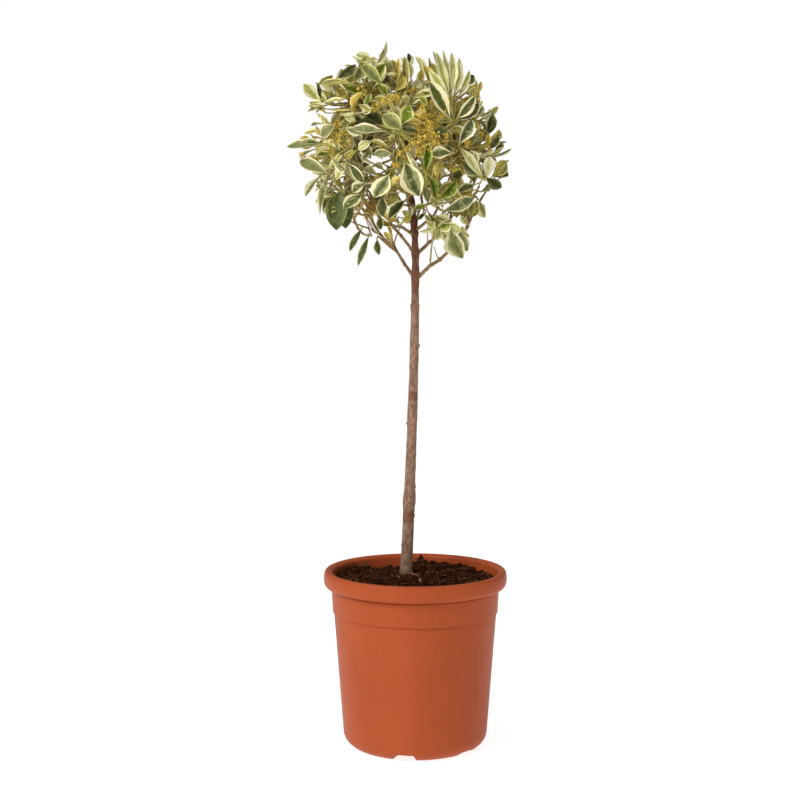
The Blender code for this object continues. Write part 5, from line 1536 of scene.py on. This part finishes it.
class Look:
    """A material and the nodes that are added to it."""

    def __init__(self, name, roughness, specular):
        self.material = bpy.data.materials.new(name)
        self.material.use_nodes = True
        self.tree = self.material.node_tree
        self.shader = self.tree.nodes["Principled BSDF"]
        self.shader.inputs["Roughness"].default_value = roughness
        self.shader.inputs["Specular IOR Level"].default_value = specular
        self.coordinates = self.tree.nodes.new("ShaderNodeTexCoord")

    def put(self, socket, value):
        """Link a signal or another socket to a socket, or set the socket's own value."""
        if isinstance(value, Signal):
            value = value.socket
        if isinstance(value, bpy.types.NodeSocket):
            self.tree.links.new(value, socket)
        elif socket.type == "RGBA":
            socket.default_value = (*value, 1.0)
        else:
            socket.default_value = value

    def add(self, kind, settings, inputs):
        """Add a node of a kind: its settings first, then the values or links of its sockets."""
        node = self.tree.nodes.new(kind)
        for name, value in settings.items():
            setattr(node, name, value)
        for name, value in inputs.items():
            self.put(node.inputs[name], value)
        return node

    def maths(self, operation, *values):
        """A Math node's result."""
        node = self.add("ShaderNodeMath", {"operation": operation}, dict(enumerate(values)))
        return Signal(self, node.outputs[0])

    def places(self, scale, space="Object"):
        """The surface's own coordinates, stretched by a scale along each axis."""
        source = self.coordinates.outputs[space]
        return self.add("ShaderNodeMapping", {}, {"Vector": source, "Scale": scale}).outputs[0]

    def noise(self, scale, detail=3.0, roughness=0.55, stretch=(1.0, 1.0, 1.0)):
        """Cloudy noise over the surface's own coordinates."""
        node = self.add("ShaderNodeTexNoise", {}, {
            "Vector": self.places(stretch), "Scale": scale, "Detail": detail, "Roughness": roughness})
        return Signal(self, node.outputs[0])

    def streaks(self, across, along):
        """Noise in the surface's UV, drawn out along it, which changes from place to place."""
        node = self.add("ShaderNodeTexNoise", {"noise_dimensions": "4D"}, {
            "Vector": self.places((across, along, 1.0), "UV"), "W": self.part(0) * 60.0, "Scale": 1.0,
            "Detail": 3.0, "Roughness": 0.6})
        return Signal(self, node.outputs[0])

    def cells(self, scale):
        """The distance to the nearest of many scattered points."""
        inputs = {"Vector": self.places((1.0, 1.0, 1.0)), "Scale": scale}
        return Signal(self, self.add("ShaderNodeTexVoronoi", {}, inputs).outputs[0])

    def part(self, axis, space="Object"):
        """One coordinate of the surface as a number."""
        node = self.add("ShaderNodeSeparateXYZ", {}, {0: self.coordinates.outputs[space]})
        return Signal(self, node.outputs[axis])

    def mix(self, share, first, second):
        """A colour between two others."""
        node = self.add("ShaderNodeMix", {"data_type": "RGBA"}, {0: share, 6: first, 7: second})
        return node.outputs[2]

    def paint(self, colour):
        self.put(self.shader.inputs["Base Color"], colour)

    def roughen(self, value):
        self.put(self.shader.inputs["Roughness"], value)

    def bump(self, height, distance, strength):
        """Relief by a height, of this depth in metres."""
        inputs = {"Height": height, "Distance": distance, "Strength": strength}
        self.put(self.shader.inputs["Normal"], self.add("ShaderNodeBump", {}, inputs).outputs[0])


def shade(red, green, blue):
    """A colour given as it shows on a screen, from 0 to 255, as light."""
    share = np.array((red, green, blue)) / 255.0
    light = np.where(share <= 0.04045, share / 12.92, ((share + 0.055) / 1.055) ** 2.4)
    return tuple(float(v) for v in light)


def leaf_material(name, light, dark, roughness):
    """A leathery leaf: two close tones in patches and streaks, and veins in its relief."""
    look = Look(name, roughness, specular=0.13)
    tones = look.noise(260.0, 2.0) * 0.4 + look.streaks(13.0, 2.6) * 0.6
    look.paint(look.mix(tones.step(0.4, 0.6), light, dark))
    across = look.part(0, "UV")
    along = look.part(1, "UV")
    from_rib = look.maths("ABSOLUTE", across - 0.5)
    veins = look.maths("SINE", (along - from_rib * 0.45) * 62.0)
    rib = from_rib.step(0.0, 0.05)
    look.bump(veins * 0.22 + rib + look.noise(900.0, 2.0) * 0.3, 0.00025, 0.7)
    look.roughen(look.noise(420.0, 2.0) * 0.16 + (roughness - 0.08))
    return look.material


def leaf_materials():
    """A material for each look of a leaf's faces: its light tone, its dark one and its roughness."""
    colours = {
        "dark": ((110, 116, 72), (74, 80, 42), 0.44),
        "deep": ((86, 92, 44), (56, 60, 24), 0.42),
        "moss": ((112, 124, 58), (76, 86, 30), 0.44),
        "silver": ((220, 214, 176), (196, 190, 146), 0.50),
        "slate": ((136, 138, 88), (112, 114, 68), 0.46),
        "grey": ((158, 160, 112), (134, 136, 86), 0.46),
        "bright": ((124, 140, 44), (94, 110, 28), 0.44),
        "vivid": ((82, 102, 10), (58, 76, 4), 0.40),
        "lime": ((180, 182, 98), (154, 158, 74), 0.46),
        "cream": ((238, 231, 190), (228, 216, 164), 0.50),
        "white": ((244, 238, 216), (234, 224, 194), 0.52),
        "butter": ((234, 220, 148), (216, 198, 120), 0.50),
        "pale": ((218, 218, 164), (196, 198, 134), 0.50),
        "under": ((190, 178, 92), (154, 142, 56), 0.62),
        "mustard": ((220, 196, 94), (188, 160, 58), 0.58),
        "bract": ((156, 110, 62), (122, 80, 40), 0.70),
        "petiole": ((186, 184, 96), (162, 158, 74), 0.55),
    }
    return {name: leaf_material("leaf_" + name, shade(*light), shade(*dark), rough)
            for name, (light, dark, rough) in colours.items()}


def bark_material(name, light, dark, red, banded):
    """Bark: grey-brown tones in upright streaks, redder higher up and in bands where banded, and there
    darkened inside the crown with painted shade.
    """
    look = Look(name, 0.86, specular=0.15)
    streaks = look.noise(520.0, 4.0, 0.65, (1.0, 1.0, 0.3))
    specks = look.noise(1500.0, 2.0, 0.6, (1.0, 1.0, 0.7))
    colour = look.mix(streaks.step(0.34, 0.66), dark, light)
    colour = look.mix(specks.step(0.56, 0.7) * 0.4, colour, shade(198, 172, 150))
    if banded:
        height = look.part(2)
        wander = look.noise(260.0, 2.0) * 0.006 - 0.003
        place = height + wander
        upper, lower = (place.step(a, b) * (1.0 - place.step(c, d)) for a, b, c, d in BARK_BANDS)
        redder = (height + wander * 2.0).step(0.446, 0.476) * 0.8
        share = upper * 0.8 + lower * 0.8 + redder
        colour = look.mix(share, colour, look.mix(streaks.step(0.3, 0.7), red, shade(126, 84, 66)))
        # Painted shade: dark specks over the trunk from 0.508 m up, where it stands in the crown's shade.
        painted_crown_shade = (height + wander * 2.0).step(0.508, 0.532) * specks.step(0.42, 0.5)
        colour = look.mix(painted_crown_shade * 0.75, colour, shade(76, 40, 28))
        mottled = redder * look.noise(420.0, 3.0, 0.6).step(0.5, 0.58) * 0.75
        colour = look.mix(mottled, colour, shade(92, 58, 42))
    else:
        colour = look.mix(look.noise(90.0).step(0.4, 0.6) * 0.6, colour, red)
    look.paint(colour)
    look.bump(streaks + specks * 0.5, 0.0006, 0.8)
    return look.material


def twig_material(name, light, dark):
    """Young stems: two tones in long streaks."""
    look = Look(name, 0.7, specular=0.2)
    streaks = look.noise(420.0, 3.0, 0.6, (1.0, 1.0, 0.4))
    look.paint(look.mix(streaks.step(0.35, 0.65), light, dark))
    look.bump(streaks, 0.0003, 0.6)
    return look.material


def flower_material(name, light, dark):
    """Small waxy flowers and buds."""
    look = Look(name, 0.65, specular=0.2)
    look.paint(look.mix(look.noise(900.0, 2.0).step(0.35, 0.65), light, dark))
    look.bump(look.noise(1800.0, 2.0), 0.0002, 0.5)
    return look.material


def litter_material(name, light, dark):
    """Peat, bark and roots: rough, with two tones in small patches."""
    look = Look(name, 0.95, specular=0.06)
    grain = look.noise(700.0, 4.0, 0.7)
    look.paint(look.mix(grain.step(0.35, 0.65), dark, light))
    look.bump(grain + look.cells(1400.0) * 0.5, 0.0008, 0.9)
    return look.material


def pot_material():
    """Moulded plastic: an even orange-brown, faintly clouded, with fine upright draw lines."""
    look = Look("pot_plastic", 0.5, specular=0.14)
    clouds = look.noise(16.0, 4.0, 0.6, (1.0, 1.0, 0.6))
    lines = look.noise(160.0, 3.0, 0.6, (1.0, 1.0, 0.05))
    grain = look.noise(1400.0, 2.0, 0.5)
    colour = look.mix(clouds.step(0.3, 0.7), shade(174, 80, 41), shade(165, 74, 37))
    colour = look.mix(lines.step(0.6, 0.78) * 0.3, colour, shade(184, 94, 54))
    look.paint(colour)
    look.roughen(clouds * 0.14 + lines * 0.1 + 0.36)
    look.bump(grain * 0.5 + lines * 0.5, 0.00018, 0.5)
    return look.material


# Stage

def make_stage():
    """A pale floor, a white surround that lights softly, and two large soft lamps."""
    mesh = bpy.data.meshes.new("floor")
    reach = 30.0
    corners = [(x * reach, y * reach, 0.0) for x, y in ((-1, -1), (1, -1), (1, 1), (-1, 1))]
    mesh.from_pydata(corners, [], [(0, 1, 2, 3)])
    floor = new_object("floor", mesh)
    material = bpy.data.materials.new("floor_white")
    material.use_nodes = True
    shader = material.node_tree.nodes["Principled BSDF"]
    shader.inputs["Base Color"].default_value = (0.45, 0.45, 0.45, 1.0)
    shader.inputs["Roughness"].default_value = 0.9
    shader.inputs["Emission Color"].default_value = (1.0, 1.0, 1.0, 1.0)
    shader.inputs["Emission Strength"].default_value = 0.84
    mesh.materials.append(material)
    world = bpy.data.worlds.new("surround")
    bpy.context.scene.world = world
    world.use_nodes = True
    tree = world.node_tree
    soft = tree.nodes["Background"]
    soft.inputs["Color"].default_value = (1.0, 0.975, 0.91, 1.0)
    soft.inputs["Strength"].default_value = 0.38
    seen = tree.nodes.new("ShaderNodeBackground")
    seen.inputs["Color"].default_value = (1.0, 1.0, 1.0, 1.0)
    path = tree.nodes.new("ShaderNodeLightPath")
    choose = tree.nodes.new("ShaderNodeMixShader")
    tree.links.new(path.outputs["Is Camera Ray"], choose.inputs[0])
    tree.links.new(soft.outputs[0], choose.inputs[1])
    tree.links.new(seen.outputs[0], choose.inputs[2])
    tree.links.new(choose.outputs[0], tree.nodes["World Output"].inputs["Surface"])
    add_lamp("key", (-1.62, -1.62, 2.1), 1.2, 54.0)
    add_lamp("fill", (0.2, -2.2, 1.9), 1.6, 5.5)


def add_lamp(name, place, side, power):
    """A square soft lamp that faces the middle of the plant."""
    lamp = bpy.data.lights.new(name, "AREA")
    lamp.size = side
    lamp.energy = power
    thing = new_object(name, lamp)
    thing.location = place
    aim = np.array((0.0, 0.0, 0.4)) - np.array(place)
    flat = math.hypot(aim[0], aim[1])
    thing.rotation_euler = (math.atan2(flat, -aim[2]), 0.0, math.atan2(aim[1], aim[0]) - math.pi / 2)


def make_camera():
    """The camera that sees what the photo shows."""
    camera = bpy.data.cameras.new("view")
    camera.lens = VIEW_LENS
    camera.sensor_width = VIEW_SENSOR
    thing = new_object("view", camera)
    thing.location = tuple(VIEW_PLACE)
    thing.rotation_euler = (math.radians(90.0 - VIEW_DIP), 0.0, 0.0)
    bpy.context.scene.camera = thing


def settle(piece, slot, *nodes):
    """A piece rides on the plant's one body and stands for nodes; its slot is not used."""
    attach(piece, "root")
    if nodes:
        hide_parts(*nodes)


def made(make, tones):
    """A material for each entry: its name, its light tone and its dark one."""
    return {key: make(name, shade(*light), shade(*dark)) for key, (name, light, dark) in tones.items()}


def build():
    """Set the camera and stage, then make every piece and settle it."""
    bpy.context.scene.view_settings.view_transform = "Standard"
    make_camera()
    make_stage()
    settle(make_pot(pot_material()), "pot_plastic", "pot")
    litter = made(litter_material, {
        "soil": ("soil_dark", (72, 38, 18), (34, 14, 4)),
        "peat": ("peat_black", (58, 30, 14), (26, 11, 3)),
        "chip": ("bark_chip", (104, 64, 42), (62, 34, 18)),
        "fibre": ("root_fibre", (128, 82, 54), (84, 48, 28)),
        "grit": ("pale_grit", (190, 166, 104), (140, 116, 64)),
        "root": ("root_bark", (150, 112, 88), (106, 70, 50)),
    })
    settle(make_soil(litter["soil"]), "soil", "soil")
    for piece in make_litter(litter):
        settle(piece, "soil")
    growth, boughs = grow()
    tones = (shade(160, 128, 108), shade(110, 82, 64), shade(112, 68, 52))
    settle(make_trunk(bark_material("trunk_bark", *tones, True)), "bark", "trunk")
    tones = (shade(182, 148, 112), shade(100, 74, 50), shade(134, 112, 68))
    settle(make_boughs(boughs, bark_material("bough_bark", *tones, False)), "bough_bark", *BOUGHS)
    twigs = made(twig_material, {
        "brown": ("twig_brown", (162, 126, 88), (114, 84, 56)),
        "olive": ("twig_olive", (176, 152, 92), (130, 108, 60)),
        "green": ("twig_green", (190, 184, 104), (150, 144, 70)),
    })
    settle(make_twigs(growth, twigs), "foliage")
    for name, piece in make_leaves(growth, leaf_materials()).items():
        settle(piece, "foliage", *LEAF_PIECES.get(name, ()))
    flowers = made(flower_material, {
        "gold": ("flower_gold", (246, 218, 108), (226, 194, 78)),
        "ochre": ("flower_ochre", (222, 188, 72), (194, 158, 50)),
        "dry": ("flower_dry", (190, 150, 54), (150, 112, 32)),
        "stalk": ("flower_stalk", (224, 206, 112), (196, 174, 80)),
    })
    settle(make_flower_stalks(growth, flowers["stalk"]), "foliage")
    settle(make_flowers(growth, flowers), "foliage")


build()
